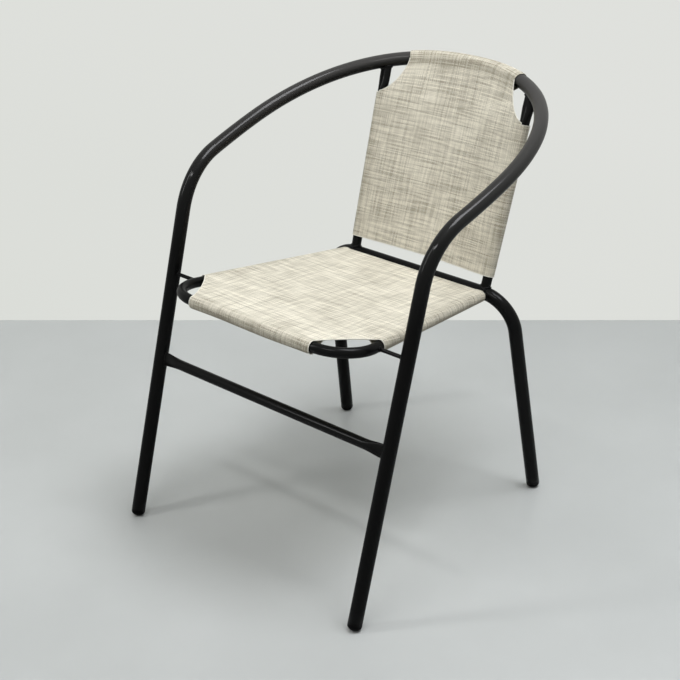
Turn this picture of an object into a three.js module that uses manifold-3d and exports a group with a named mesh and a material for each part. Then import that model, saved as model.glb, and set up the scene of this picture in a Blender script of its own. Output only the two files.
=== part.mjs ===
// A stacking patio armchair: a welded steel tube frame that carries a woven seat sling and back sling.
// Millimetres, +Z up. The chair faces -Y, and left and right are as seen from in front of it.

import * as THREE from 'three';
import { mergeVertices } from 'three/addons/utils/BufferGeometryUtils.js';
import Module from 'manifold-3d';

const wasm = await Module();
wasm.setup();

const degree = Math.PI / 180;

// Tube and rod stock
const main_tube_d = 22;
const main_tube_wall = 1.2;
const light_tube_d = 16;
const light_tube_wall = 1.2;
const rear_bar_d = 12;
const rear_bar_wall = 1;
const strut_d = 6;

// Arm hoop: front legs, arms and back rail in one bent tube
const front_foot_half = 233.3;
const leg_rake = 15.6 * degree;
const arm_corner_half = 236;
const arm_corner_height = 555;
const arm_bend_radius = 113;
const arm_rise = 17.2 * degree;
const arm_widest_half = 243.6;
const arm_widest_back = 131;
const hoop_depth = 279;
const hoop_fullness = 2.3;

// Rear leg bow: both rear legs and the crossbar in one bent tube
const rear_foot_half = 208.6;
const foot_wheelbase = 502.2;
const crossbar_height = 359.5;
const crossbar_back = 435;
const crossbar_corner_half = 187.5;
const rear_bend_radius = 59;

// Back uprights, from the crossbar to the hoop
const upright_foot_half = 134.4;
const upright_top_half = 142.8;
const upright_end_width = 20.5;
const upright_end_thickness = 10;
const upright_end_length = 14;
const upright_taper_length = 24;

// Front stretcher, with its ends pressed flat into upright tails
const stretcher_height = 262;
const tail_width = 21.5;
const tail_thickness = 5.6;
const tail_length = 2;
const tail_taper_length = 32;

// Seat frame: front bar and two side bars in one bent tube, lying in a plane through the crossbar
const seat_front_height = 404;
const seat_front_back = 42.7;
const seat_corner_gap = 30.3;
const seat_corner_radius = 57;
const seat_rear_spread = 3.5;

// Foot caps
const cap_dome_height = 8;
const cap_flat_depth = 0.8;
const cap_plug_length = 18;
const cap_plug_lead = 2;

// Slings
const cloth = 1.2;
const sleeve_thinning = 0.1;
const sleeve_lap = 0.3;
const sleeve_seam_run = 27;
const seat_front_sleeve_half = 119;
const seat_side_sleeve_start = 79;
const seat_side_sleeve_stop = 6.5;
const seat_rear_sleeve_stop = 3.5;
const seat_cut_bow = 4;
const back_seam_run = 18;
const back_hem_rise = 28.5;
const back_shoulder_drop = 53;
const back_shoulder_half = 152;
const back_top_sleeve_half = 107;
const back_top_flare = 0.3;
const back_shoulder_fullness = 1.75;
const back_hem_bow_share = 0.42;
const back_bow_power = 1.5;

// Clearances
const weld_gap = 0.3;
const sleeve_gap = 0.4;
const plug_gap = 0.3;
const cut_overrun = 5;
const merge_distance = 0.0001;

// Facets
const main_tube_sides = 20;
const light_tube_sides = 16;
const small_tube_sides = 12;
const bend_rings = 7;
const arm_rings = 3;
const hoop_rings = 36;
const seat_bend_rings = 8;
const taper_rings = 5;
const cap_rings = 5;
const sleeve_arc_steps = 9;
const back_columns = 16;
const back_rows = 4;
const shoulder_rows = 6;
const join_rounds = 4;

// A cubic curve follows an arc with its control points this share of radius x tan(turn / 4) from its ends
const arc_pull_share = 4 / 3;

const powder_coat = new THREE.MeshStandardMaterial({ color: 0x121214, roughness: 0.32, metalness: 0.35 });
const cap_plastic = new THREE.MeshStandardMaterial({ color: 0x0c0c0d, roughness: 0.6, metalness: 0 });
const sling_weave = new THREE.MeshStandardMaterial({ color: 0xcfc7b2, roughness: 0.85, metalness: 0 });

const origin = new THREE.Vector2(0, 0);
const vec = (x, y, z) => new THREE.Vector3(x, y, z);
const flipped = (point) => vec(-point.x, point.y, point.z);
const sides = [['left', -1], ['right', 1]];

// Solids

function solidOf(geometry) {
  const bare = geometry.clone();
  bare.deleteAttribute('normal');
  bare.deleteAttribute('uv');
  const merged = mergeVertices(bare, merge_distance);
  const vertProperties = new Float32Array(merged.attributes.position.array);
  const triVerts = new Uint32Array(merged.index.array);
  return new wasm.Manifold(new wasm.Mesh({ numProp: 3, vertProperties, triVerts }));
}

function geometryOf(solid) {
  const mesh = solid.getMesh();
  const geometry = new THREE.BufferGeometry();
  geometry.setAttribute('position', new THREE.BufferAttribute(new Float32Array(mesh.vertProperties), 3));
  geometry.setIndex(new THREE.BufferAttribute(new Uint32Array(mesh.triVerts), 1));
  geometry.computeVertexNormals();
  return geometry;
}

function coped(geometry, ...cutters) {
  return geometryOf(cutters.reduce((solid, cutter) => solid.subtract(cutter), solidOf(geometry)));
}

// Skins a stack of loops of equal length, each a list of points that runs anticlockwise seen from the last one.
// With inner loops as well, the body is a shell that is open at both ends.
function lofted(outer, inner = null) {
  const count = outer[0].length;
  const points = [];
  const faces = [];
  const skin = (loops, outward) => {
    const first = points.length;
    loops.forEach((loop) => points.push(...loop));
    for (let ring = 0; ring + 1 < loops.length; ring += 1) {
      for (let i = 0; i < count; i += 1) {
        const a = first + ring * count + i;
        const b = first + ring * count + ((i + 1) % count);
        const quad = [a, b, b + count, a, b + count, a + count];
        faces.push(...(outward ? quad : quad.reverse()));
      }
    }
    return first;
  };
  const outside = skin(outer, true);
  const last = (outer.length - 1) * count;
  if (inner) {
    const inside = skin(inner, false);
    for (let i = 0; i < count; i += 1) {
      const next = (i + 1) % count;
      faces.push(outside + i, inside + i, inside + next, outside + i, inside + next, outside + next);
      faces.push(outside + last + i, inside + last + next, inside + last + i);
      faces.push(outside + last + i, outside + last + next, inside + last + next);
    }
  }
  return { points, faces, outside, last, count };
}

function bodyOf({ points, faces }) {
  const geometry = new THREE.BufferGeometry().setFromPoints(points);
  geometry.setIndex(faces);
  geometry.computeVertexNormals();
  return geometry;
}

// Closes both ends of a loft of one flat outline, which is given in its own two axes for the triangles
function capped(loft, flat_outline) {
  const { points, faces, outside, last } = loft;
  THREE.ShapeUtils.triangulateShape(flat_outline, []).forEach(([a, b, c]) => {
    faces.push(outside + c, outside + b, outside + a);
    faces.push(outside + last + a, outside + last + b, outside + last + c);
  });
  return bodyOf({ points, faces });
}

// Paths

// Several curves end to end, each with its own number of rings, so that rings gather in the bends
class RunPath extends THREE.Curve {
  constructor(runs) {
    super();
    this.runs = runs;
    this.rings = runs.reduce((sum, run) => sum + run.rings, 0);
  }

  locate(t) {
    let ring = t * this.rings;
    const lastRun = this.runs.length - 1;
    const index = this.runs.findIndex((run, i) => {
      if (ring <= run.rings || i === lastRun) return true;
      ring -= run.rings;
      return false;
    });
    const run = this.runs[index];
    return { curve: run.curve, at: Math.min(ring / run.rings, 1) };
  }

  getPoint(t) {
    const { curve, at } = this.locate(t);
    return curve.getPoint(at);
  }

  getTangent(t) {
    const { curve, at } = this.locate(t);
    return curve.getTangent(at);
  }

  getPointAt(t) {
    return this.getPoint(t);
  }

  getTangentAt(t) {
    return this.getTangent(t);
  }

  getSpacedPoints(divisions) {
    return this.getPoints(divisions);
  }
}

// A curve from a formula of t
class FormulaCurve extends THREE.Curve {
  constructor(formula) {
    super();
    this.formula = formula;
  }

  getPoint(t) {
    return this.formula(t);
  }
}

// The same run on the other side of the chair, run backwards
const mirroredRun = ({ curve, rings }) => (
  { rings, curve: new FormulaCurve((t) => flipped(curve.getPoint(1 - t))) }
);

function straight(from, to) {
  return { rings: 1, curve: new THREE.LineCurve3(from, to) };
}

function smoothBend(start, startWay, end, endWay, radius, rings) {
  const pull = arc_pull_share * radius * Math.tan(startWay.angleTo(endWay) / 4);
  const leave = start.clone().addScaledVector(startWay, pull);
  const arrive = end.clone().addScaledVector(endWay, -pull);
  return { rings, curve: new THREE.CubicBezierCurve3(start, leave, arrive, end) };
}

// Rounds the corner between two straight stretches
function cornerBend(before, corner, after, radius, rings) {
  const wayIn = corner.clone().sub(before).normalize();
  const wayOut = after.clone().sub(corner).normalize();
  const setback = radius * Math.tan(wayIn.angleTo(wayOut) / 2);
  const start = corner.clone().addScaledVector(wayIn, -setback);
  const end = corner.clone().addScaledVector(wayOut, setback);
  return { start, end, run: smoothBend(start, wayIn, end, wayOut, radius, rings) };
}

function roundShape(diameter, wall = 0) {
  const shape = new THREE.Shape().absarc(0, 0, diameter / 2, 0, 2 * Math.PI);
  if (wall > 0) shape.holes.push(new THREE.Path().absarc(0, 0, diameter / 2 - wall, 0, 2 * Math.PI));
  return shape;
}

function tube(path, diameter, wall, tubeSides) {
  return new THREE.ExtrudeGeometry(roundShape(diameter, wall), {
    steps: path.rings,
    extrudePath: path,
    curveSegments: tubeSides / 2,
    bevelEnabled: false,
  });
}

// What a tube or rod fills, with the weld gap round it, to cope the pieces that meet it
function cutterOf(path, diameter, tubeSides, placing = new THREE.Matrix4()) {
  return solidOf(tube(path, diameter + 2 * weld_gap, 0, tubeSides).applyMatrix4(placing));
}

// Arm hoop

const arm_corner_back = arm_corner_height * Math.tan(leg_rake);
const arm_widest_at = arm_corner_back + arm_widest_back;
const hoopHeight = (y) => arm_corner_height + (y - arm_corner_back) * Math.tan(arm_rise);
const hoopPoint = (x, y) => vec(x, y, hoopHeight(y));

const front_foot = vec(front_foot_half, 0, 0);
const arm_corner = vec(arm_corner_half, arm_corner_back, arm_corner_height);
const front_leg_way = arm_corner.clone().sub(front_foot).normalize();

// Along the arm the tube swells from the corner's half width to its widest
function armPoint(y) {
  const remaining = (arm_widest_at - y) / arm_widest_back;
  return hoopPoint(arm_widest_half - (arm_widest_half - arm_corner_half) * remaining ** 2, y);
}

// The back of the hoop is fuller than an ellipse
function hoopBack(t) {
  const across = Math.cos(Math.PI * t);
  const deep = Math.sin(Math.PI * t);
  const sum = Math.abs(across) ** hoop_fullness + Math.abs(deep) ** hoop_fullness;
  const reach = sum ** (-1 / hoop_fullness);
  return hoopPoint(arm_widest_half * reach * across, arm_widest_at + hoop_depth * reach * deep);
}

// The hoop's centre line at a place across its back
function hoopAt(x) {
  const share = Math.min(Math.abs(x) / arm_widest_half, 1);
  return hoopPoint(x, arm_widest_at + hoop_depth * (1 - share ** hoop_fullness) ** (1 / hoop_fullness));
}

// How far the tube's end stands above the floor on a dome that leans and is cut flat
function capRise(way) {
  const lean = way.angleTo(vec(0, 0, 1));
  const lowest = Math.hypot(main_tube_d / 2 * Math.sin(lean), cap_dome_height * Math.cos(lean));
  return lowest + weld_gap * Math.cos(lean) - cap_flat_depth;
}

const atHeight = (foot, way, height) => foot.clone().addScaledVector(way, (height - foot.z) / way.z);

function hoopPath() {
  const start = atHeight(front_foot, front_leg_way, capRise(front_leg_way));
  const turn = front_leg_way.angleTo(vec(0, Math.cos(arm_rise), Math.sin(arm_rise)));
  const setback = arm_bend_radius * Math.tan(turn / 2);
  const bendStart = arm_corner.clone().addScaledVector(front_leg_way, -setback);
  const armStart = arm_corner_back + setback * Math.cos(arm_rise);
  const arm = new FormulaCurve((t) => armPoint(armStart + (arm_widest_at - armStart) * t));
  const armWay = arm.getTangent(0);
  const bend = smoothBend(bendStart, front_leg_way, arm.getPoint(0), armWay, arm_bend_radius, bend_rings);
  const half = [straight(start, bendStart), bend, { rings: arm_rings, curve: arm }];
  const back = { rings: hoop_rings, curve: new FormulaCurve(hoopBack) };
  return new RunPath([...half, back, ...half.map(mirroredRun).reverse()]);
}

// Rear leg bow

const rear_foot = vec(rear_foot_half, foot_wheelbase, 0);
const crossbar_corner = vec(crossbar_corner_half, crossbar_back, crossbar_height);
const rear_leg_way = crossbar_corner.clone().sub(rear_foot).normalize();

function bowPath() {
  const start = atHeight(rear_foot, rear_leg_way, capRise(rear_leg_way));
  const bend = cornerBend(start, crossbar_corner, flipped(crossbar_corner), rear_bend_radius, bend_rings);
  const leg = straight(start, bend.start);
  return new RunPath([
    leg,
    bend.run,
    straight(bend.end, flipped(bend.end)),
    mirroredRun(bend.run),
    mirroredRun(leg),
  ]);
}

const hoop_path = hoopPath();
const bow_path = bowPath();
const hoop_cutter = cutterOf(hoop_path, main_tube_d, main_tube_sides);
const bow_cutter = cutterOf(bow_path, main_tube_d, main_tube_sides);

// Tubes with pressed ends

// Rings of an oval tube: each station has a place on the axis and its half sizes along the two given axes
function ovalTube(stations, wall, axisA, axisB, tubeSides) {
  const ring = (station, inset) => Array.from({ length: tubeSides }, (_, i) => {
    const angle = 2 * Math.PI * i / tubeSides;
    return station.at.clone()
      .addScaledVector(axisA, (station.a - inset) * Math.cos(angle))
      .addScaledVector(axisB, (station.b - inset) * Math.sin(angle));
  });
  const outer = stations.map((station) => ring(station, 0));
  const inner = stations.map((station) => ring(station, wall));
  return bodyOf(lofted(outer, inner));
}

// Eases from a round tube to a pressed end over the taper's rings
function pressedStations(from, to, round, pressedA, pressedB) {
  return Array.from({ length: taper_rings + 1 }, (_, i) => {
    const share = i / taper_rings;
    const ease = share * share * (3 - 2 * share);
    return {
      at: from.clone().lerp(to, share),
      a: round + (pressedA - round) * ease,
      b: round + (pressedB - round) * ease,
    };
  });
}

const uprightFoot = (sign) => vec(sign * upright_foot_half, crossbar_back, crossbar_height);
const uprightTop = (sign) => hoopAt(sign * upright_top_half);

function backUpright(sign) {
  const foot = uprightFoot(sign);
  const top = uprightTop(sign);
  const way = top.clone().sub(foot).normalize();
  const forward = vec(1, 0, 0).cross(way).normalize();
  const across = forward.clone().cross(way).negate();
  const round = light_tube_d / 2;
  const pressed = { a: upright_end_width / 2, b: upright_end_thickness / 2 };
  const pressedFrom = main_tube_d / 2 + upright_end_length;
  const taperEnd = top.clone().addScaledVector(way, -pressedFrom);
  const taperStart = taperEnd.clone().addScaledVector(way, -upright_taper_length);
  const stations = [
    { at: foot, a: round, b: round },
    ...pressedStations(taperStart, taperEnd, round, pressed.a, pressed.b),
    { at: top, ...pressed },
  ];
  const body = ovalTube(stations, light_tube_wall, across, forward.clone().negate(), light_tube_sides);
  return coped(body, hoop_cutter, bow_cutter);
}

function frontStretcher() {
  const legAt = atHeight(front_foot, front_leg_way, stretcher_height);
  const round = light_tube_d / 2;
  const pressed = { a: tail_thickness / 2, b: tail_width / 2 };
  const tailAt = legAt.x - main_tube_d / 2 - tail_length;
  const roundAt = tailAt - tail_taper_length;
  const at = (x) => vec(x, legAt.y, legAt.z);
  const half = [
    ...pressedStations(at(roundAt), at(tailAt), round, pressed.a, pressed.b),
    { at: at(legAt.x), ...pressed },
  ];
  const others = half.map((station) => ({ ...station, at: flipped(station.at) })).reverse();
  const up = vec(0, Math.sin(leg_rake), Math.cos(leg_rake));
  const back = vec(0, Math.cos(leg_rake), -Math.sin(leg_rake));
  const body = ovalTube([...others, ...half], light_tube_wall, back, up, light_tube_sides);
  return coped(body, hoop_cutter);
}

// Seat, built in its own plane: x across, y back along the plane from the front bar's axis, z square to it

const seat_run = Math.hypot(crossbar_back - seat_front_back, seat_front_height - crossbar_height);
const seat_pitch = -Math.atan2(seat_front_height - crossbar_height, crossbar_back - seat_front_back);
const seat_place = vec(0, seat_front_back, seat_front_height);
const seat_matrix = new THREE.Matrix4()
  .makeRotationX(seat_pitch)
  .setPosition(seat_place);

const leg_at_seat = atHeight(front_foot, front_leg_way, seat_front_height);
const seat_corner_half = leg_at_seat.x - main_tube_d / 2 - seat_corner_gap - light_tube_d / 2;
const seat_rear_half = upright_foot_half + seat_rear_spread;
const seatSideAt = (y) => seat_corner_half + (seat_rear_half - seat_corner_half) * y / seat_run;

function seatFramePath() {
  const rear = vec(seat_rear_half, seat_run, 0);
  const corner = vec(seat_corner_half, 0, 0);
  const bend = cornerBend(rear, corner, flipped(corner), seat_corner_radius, seat_bend_rings);
  const side = straight(rear, bend.start);
  return new RunPath([
    side,
    bend.run,
    straight(bend.end, flipped(bend.end)),
    mirroredRun(bend.run),
    mirroredRun(side),
  ]);
}

const acrossPath = (half, y, z) => new RunPath([straight(vec(-half, y, z), vec(half, y, z))]);

const seat_path = seatFramePath();
const seat_cutter = cutterOf(seat_path, light_tube_d, light_tube_sides);
const placed_seat_cutter = cutterOf(seat_path, light_tube_d, light_tube_sides, seat_matrix);
const bow_cutter_in_seat = cutterOf(bow_path, main_tube_d, main_tube_sides, seat_matrix.clone().invert());

const sleeveMid = (diameter) => diameter / 2 + sleeve_gap + cloth / 2;
const sleeveOuter = (diameter) => sleeveMid(diameter) + cloth / 2;

// The rear bar runs inside its sleeve ahead of the crossbar, with its top level with the side bars
const rear_bar_back = seat_run - main_tube_d / 2 - seat_rear_sleeve_stop - sleeveOuter(rear_bar_d);
const rear_bar_up = (light_tube_d - rear_bar_d) / 2;
const rear_bar_path = acrossPath(seatSideAt(rear_bar_back), rear_bar_back, rear_bar_up);

function seatFrame() {
  return coped(tube(seat_path, light_tube_d, light_tube_wall, light_tube_sides), bow_cutter_in_seat);
}

function rearSeatBar() {
  return coped(tube(rear_bar_path, rear_bar_d, rear_bar_wall, small_tube_sides), seat_cutter);
}

// A strut joins each front leg to the side of the seat frame, where the leg's axis crosses the seat's plane
function seatStrut(sign) {
  const fall = Math.tan(seat_pitch);
  const backPerHeight = front_leg_way.y / front_leg_way.z;
  const height = (seat_front_height - seat_front_back * fall) / (1 - backPerHeight * fall);
  const leg = atHeight(front_foot, front_leg_way, height);
  const along = (leg.y - seat_front_back) / Math.cos(seat_pitch);
  const from = vec(sign * seatSideAt(along), leg.y, leg.z);
  const to = vec(sign * leg.x, leg.y, leg.z);
  const rod = tube(new RunPath([straight(from, to)]), strut_d, 0, small_tube_sides);
  return coped(rod, hoop_cutter, placed_seat_cutter);
}

// Foot caps

// A plug with a domed foot, made on the leg's axis and cut level with the floor
function footCap(sign, foot, way) {
  const radius = main_tube_d / 2;
  const plug = radius - main_tube_wall - plug_gap;
  const profile = [];
  for (let i = 0; i <= cap_rings; i += 1) {
    const angle = Math.PI / 2 * i / cap_rings;
    profile.push(new THREE.Vector2(radius * Math.sin(angle), -cap_dome_height * Math.cos(angle)));
  }
  const rim = -weld_gap;
  profile.forEach((point) => point.add(new THREE.Vector2(0, rim)));
  profile.push(new THREE.Vector2(plug, rim));
  profile.push(new THREE.Vector2(plug, cap_plug_length - cap_plug_lead));
  profile.push(new THREE.Vector2(plug - cap_plug_lead, cap_plug_length));
  profile.push(new THREE.Vector2(0, cap_plug_length));
  const end = atHeight(foot, way, capRise(way));
  const place = vec(sign * end.x, end.y, end.z);
  const turned = new THREE.Quaternion().setFromUnitVectors(vec(0, 0, 1), vec(sign * way.x, way.y, way.z));
  const body = new THREE.LatheGeometry(profile, main_tube_sides)
    .rotateX(Math.PI / 2)
    .applyQuaternion(turned)
    .translate(place.x, place.y, place.z);
  const depth = cap_dome_height + cut_overrun;
  const floor = new THREE.BoxGeometry(2 * main_tube_d, 2 * main_tube_d, depth)
    .translate(place.x, place.y, -depth / 2);
  return coped(body, solidOf(floor));
}

// Slings

// Section of a sleeve, in the axes inward and up from the tube's axis. It starts in the sheet over the tube,
// goes round the outside of the tube and comes back to the sheet at the seam.
function sleeveSection(middle, seam) {
  const reach = seam.length();
  const last = 2 * Math.PI + seam.angle() - Math.acos(middle / reach);
  const wrapped = seam.angle() > Math.PI ? last - 2 * Math.PI : last;
  const start = Math.PI / 2;
  const step = (wrapped - start) / sleeve_arc_steps;
  // The facets touch the round from outside, the first of them level with the sheet
  const arc = (radius) => [new THREE.Vector2(0, radius)]
    .concat(Array.from({ length: sleeve_arc_steps }, (_, i) => (
      new THREE.Vector2(radius / Math.cos(step / 2), 0).rotateAround(origin, start + step * (i + 1 / 2)))));
  const tailWay = new THREE.Vector2(-Math.sin(wrapped), Math.cos(wrapped));
  const half = (cloth - sleeve_thinning) / 2;
  const tailSide = new THREE.Vector2(tailWay.y, -tailWay.x).multiplyScalar(half);
  const tip = new THREE.Vector2(cloth, middle);
  return [
    tip,
    ...arc(middle + half),
    seam.clone().add(tailSide),
    seam.clone().sub(tailSide),
    ...arc(middle - half).reverse(),
  ];
}

// A sleeve along stations, each with the axis point, the inward and up ways and the seam in those axes
function sleeve(stations, middle) {
  const sections = stations.map((station) => sleeveSection(middle, station.seam));
  const loops = stations.map((station, i) => sections[i].map((point) => station.at.clone()
    .addScaledVector(station.inward, point.x)
    .addScaledVector(station.up, point.y)));
  const ahead = stations[1].at.clone().sub(stations[0].at);
  const rightHanded = stations[0].inward.clone().cross(stations[0].up).dot(ahead) > 0;
  return solidOf(capped(lofted(rightHanded ? loops : loops.reverse()), sections[0]));
}

// A sheet of the cloth's thickness about a grid of points
function sheet(grid) {
  const rows = grid.length;
  const columns = grid[0].length;
  const clampRow = (i) => Math.max(0, Math.min(rows - 1, i));
  const clampColumn = (i) => Math.max(0, Math.min(columns - 1, i));
  const normalAt = (row, column) => {
    const up = grid[clampRow(row + 1)][column].clone().sub(grid[clampRow(row - 1)][column]);
    const across = grid[row][clampColumn(column + 1)].clone().sub(grid[row][clampColumn(column - 1)]);
    return across.cross(up).normalize();
  };
  const face = (side) => grid.map((line, row) => line.map((point, column) => (
    point.clone().addScaledVector(normalAt(row, column), side * cloth / 2))));
  const front = face(1);
  const rear = face(-1);
  const loops = grid.map((_, row) => [...front[row], ...rear[row].slice().reverse()]);
  const loft = lofted(loops);
  const { points, faces, outside, last, count } = loft;
  for (let i = 0; i + 1 < columns; i += 1) {
    const across = count - 1 - i;
    faces.push(outside + i, outside + across, outside + across - 1);
    faces.push(outside + i, outside + across - 1, outside + i + 1);
    faces.push(outside + last + i, outside + last + across - 1, outside + last + across);
    faces.push(outside + last + i, outside + last + i + 1, outside + last + across - 1);
  }
  return solidOf(bodyOf({ points, faces }));
}

// Seat sling

function seatSling() {
  const level = sleeveMid(light_tube_d);
  const up = vec(0, 0, 1);
  const seam = new THREE.Vector2(sleeve_seam_run, level);
  const side_end = seat_run - main_tube_d / 2 - seat_side_sleeve_stop;
  const side_inner = sleeveOuter(light_tube_d);

  // The right half of the sheet's outline, lapping a little past the tubes' axes
  const edgeAt = (y) => seatSideAt(y) + sleeve_lap;
  const cutStart = new THREE.Vector2(seat_front_sleeve_half - sleeve_lap, -sleeve_lap);
  const cutEnd = new THREE.Vector2(edgeAt(seat_side_sleeve_start), seat_side_sleeve_start + sleeve_lap);
  const chord = cutEnd.clone().sub(cutStart);
  const bow = new THREE.Vector2(-chord.y, chord.x).setLength(2 * seat_cut_bow);
  const pull = cutStart.clone().lerp(cutEnd, 1 / 2).add(bow);
  const half = new THREE.QuadraticBezierCurve(cutStart, pull, cutEnd).getPoints(bend_rings);
  const rear = side_end - sleeve_lap;
  const rearLap = rear_bar_back + sleeve_lap;
  half.push(new THREE.Vector2(edgeAt(rear), rear));
  half.push(new THREE.Vector2(seatSideAt(rear) - side_inner, rear));
  half.push(new THREE.Vector2(seatSideAt(rearLap) - side_inner, rearLap));
  const otherHalf = half.map((point) => new THREE.Vector2(-point.x, point.y)).reverse();
  const outline = new THREE.Shape([...half, ...otherHalf]);
  const panel = new THREE.ExtrudeGeometry(outline, { depth: cloth, bevelEnabled: false })
    .translate(0, 0, level - cloth / 2);

  const frontSleeve = sleeve([1, -1].map((sign) => (
    { at: vec(sign * seat_front_sleeve_half, 0, 0), inward: vec(0, 1, 0), up, seam })), level);
  const rearLevel = sleeveMid(rear_bar_d);
  const rearHalf = seatSideAt(side_end) - side_inner + cloth / 2;
  const rearSeam = new THREE.Vector2(sleeve_seam_run, rearLevel);
  const rearEndAt = (sign) => vec(sign * rearHalf, rear_bar_back, rear_bar_up);
  const rearSleeve = sleeve([-1, 1].map((sign) => (
    { at: rearEndAt(sign), inward: vec(0, -1, 0), up, seam: rearSeam })), rearLevel);

  const sideSleeves = sides.map(([, sign]) => sleeve([seat_side_sleeve_start, side_end].map((y) => (
    { at: vec(sign * seatSideAt(y), y, 0), inward: vec(-sign, 0, 0), up, seam })), level));
  const sleeves = [frontSleeve, rearSleeve, ...sideSleeves];
  const whole = sleeves.reduce((sum, part) => sum.add(part), solidOf(panel));
  return geometryOf(whole.subtract(cutterOf(rear_bar_path, rear_bar_d, small_tube_sides)));
}

// Back sling

const upright_length = uprightTop(1).distanceTo(uprightFoot(1));
const hem_at = back_hem_rise / upright_length;
const shoulder_at = 1 - back_shoulder_drop / upright_length;
const uprightAt = (t) => uprightFoot(1).lerp(uprightTop(1), t);
const upright_way = uprightTop(1).sub(uprightFoot(1)).normalize();
const upright_forward = vec(1, 0, 0).cross(upright_way).normalize();
const upright_inward = upright_forward.clone().cross(upright_way).normalize();

// The ways down the sheet and forward from it, square to the hoop at a place across its back
function hoopWays(x) {
  const share = Math.abs(x) / arm_widest_half;
  const fall = (1 - share ** hoop_fullness) ** (1 / hoop_fullness - 1) * share ** (hoop_fullness - 1);
  const slope = -Math.sign(x) * fall * hoop_depth / arm_widest_half;
  const along = vec(1, slope, slope * Math.tan(arm_rise)).normalize();
  const down = vec(0, -upright_way.y, -upright_way.z);
  down.addScaledVector(along, -down.dot(along)).normalize();
  const forward = down.clone().cross(along).normalize();
  return { along, down, forward };
}

const smooth = (share) => share * share * (3 - 2 * share);

// The sheet's middle surface: flat against the fronts of the uprights, bowed back between them, and
// following the hoop at the top
function backPoint(x, t) {
  const axis = uprightAt(t);
  const half = axis.x;
  const flat = vec(x, axis.y, axis.z).addScaledVector(upright_forward, sleeveMid(light_tube_d));
  const topFlat = (at) => vec(at, uprightTop(1).y, uprightTop(1).z)
    .addScaledVector(upright_forward, sleeveMid(light_tube_d));
  const topPoint = (at) => hoopAt(at).addScaledVector(hoopWays(at).forward, sleeveMid(main_tube_d));
  const depth = topPoint(0).sub(topFlat(0)).dot(upright_forward);
  const share = Math.max(0, 1 - (x / half) ** 2) ** back_bow_power;
  const grown = back_hem_bow_share + (1 - back_hem_bow_share) * t;
  const bowed = upright_forward.clone().multiplyScalar(depth * share * grown);
  if (t <= shoulder_at) return flat.add(bowed);
  const follow = smooth(Math.min((t - shoulder_at) / (1 - shoulder_at), 1));
  const hooped = topPoint(x).sub(topFlat(x));
  return flat.add(bowed.multiplyScalar(1 - follow)).addScaledVector(hooped, follow);
}

function backSling() {
  const lap = sleeve_lap / upright_length;
  const rows = [];
  for (let i = 0; i < back_rows; i += 1) {
    const t = hem_at + lap + (shoulder_at - hem_at - lap) * i / back_rows;
    rows.push({ t, half: uprightAt(t).x + sleeve_lap });
  }
  const power = 2 / back_shoulder_fullness;
  for (let i = 0; i <= shoulder_rows; i += 1) {
    const angle = Math.PI / 2 * i / shoulder_rows;
    const t = 1 + lap - (1 + lap - shoulder_at) * Math.abs(Math.cos(angle)) ** power;
    const cut = back_shoulder_half - (back_shoulder_half - back_top_sleeve_half) * Math.sin(angle) ** power;
    rows.push({ t, half: Math.min(uprightAt(t).x, cut - sleeve_lap) });
  }
  const grid = rows.map(({ t, half }) => Array.from({ length: back_columns + 1 }, (_, i) => (
    backPoint(half * (2 * i / back_columns - 1), t))));
  const panel = sheet(grid);

  const sideSleeves = sides.map(([, sign]) => {
    const turned = (point) => (sign > 0 ? point : flipped(point));
    const stations = Array.from({ length: back_rows + 1 }, (_, i) => {
      const t = hem_at + (shoulder_at - hem_at) * i / back_rows;
      const axis = uprightAt(t);
      const join = backPoint(axis.x - back_seam_run, t).sub(axis);
      const seam = new THREE.Vector2(join.dot(upright_inward), join.dot(upright_forward));
      return { at: turned(axis), inward: turned(upright_inward), up: upright_forward, seam };
    });
    return sleeve(stations, sleeveMid(light_tube_d));
  });

  const topStations = Array.from({ length: back_columns + 1 }, (_, i) => {
    const share = 2 * i / back_columns - 1;
    const x = back_top_sleeve_half * share;
    const { along, down, forward } = hoopWays(x);
    const axis = hoopAt(x);
    const seamAt = 1 - sleeve_seam_run / upright_length;
    let across = x;
    let join = null;
    for (let round = 0; round < join_rounds; round += 1) {
      join = backPoint(across, seamAt).sub(axis);
      across += join.dot(down) * back_top_flare * share - join.dot(along);
    }
    const seam = new THREE.Vector2(join.dot(down), join.dot(forward));
    return { at: axis, inward: down.addScaledVector(along, back_top_flare * share), up: forward, seam };
  });
  const topSleeve = sleeve(topStations, sleeveMid(main_tube_d));
  return geometryOf(panel.add(topSleeve).add(sideSleeves[0]).add(sideSleeves[1]));
}

// Assembly

function named(name, geometry, material) {
  const mesh = new THREE.Mesh(geometry, material);
  mesh.name = name;
  return mesh;
}

const chair = new THREE.Group();

chair.add(named('arm_hoop', tube(hoop_path, main_tube_d, main_tube_wall, main_tube_sides), powder_coat));
chair.add(named('rear_leg_bow', tube(bow_path, main_tube_d, main_tube_wall, main_tube_sides), powder_coat));
chair.add(named('front_stretcher', frontStretcher(), powder_coat));

sides.forEach(([side, sign]) => {
  chair.add(named(`back_upright_${side}`, backUpright(sign), powder_coat));
  chair.add(named(`seat_strut_${side}`, seatStrut(sign), powder_coat));
  chair.add(named(`foot_cap_front_${side}`, footCap(sign, front_foot, front_leg_way), cap_plastic));
  chair.add(named(`foot_cap_rear_${side}`, footCap(sign, rear_foot, rear_leg_way), cap_plastic));
});

const seat = new THREE.Group();
seat.position.copy(seat_place);
seat.rotation.x = seat_pitch;
seat.add(named('seat_frame', seatFrame(), powder_coat));
seat.add(named('rear_seat_bar', rearSeatBar(), powder_coat));
seat.add(named('seat_sling', seatSling(), sling_weave));
chair.add(seat);

chair.add(named('back_sling', backSling(), sling_weave));

// The origin is on the floor, under the middle of the chair
chair.updateMatrixWorld(true);
const extent = new THREE.Box3().setFromObject(chair);
chair.position.y = -(extent.min.y + extent.max.y) / 2;

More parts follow.
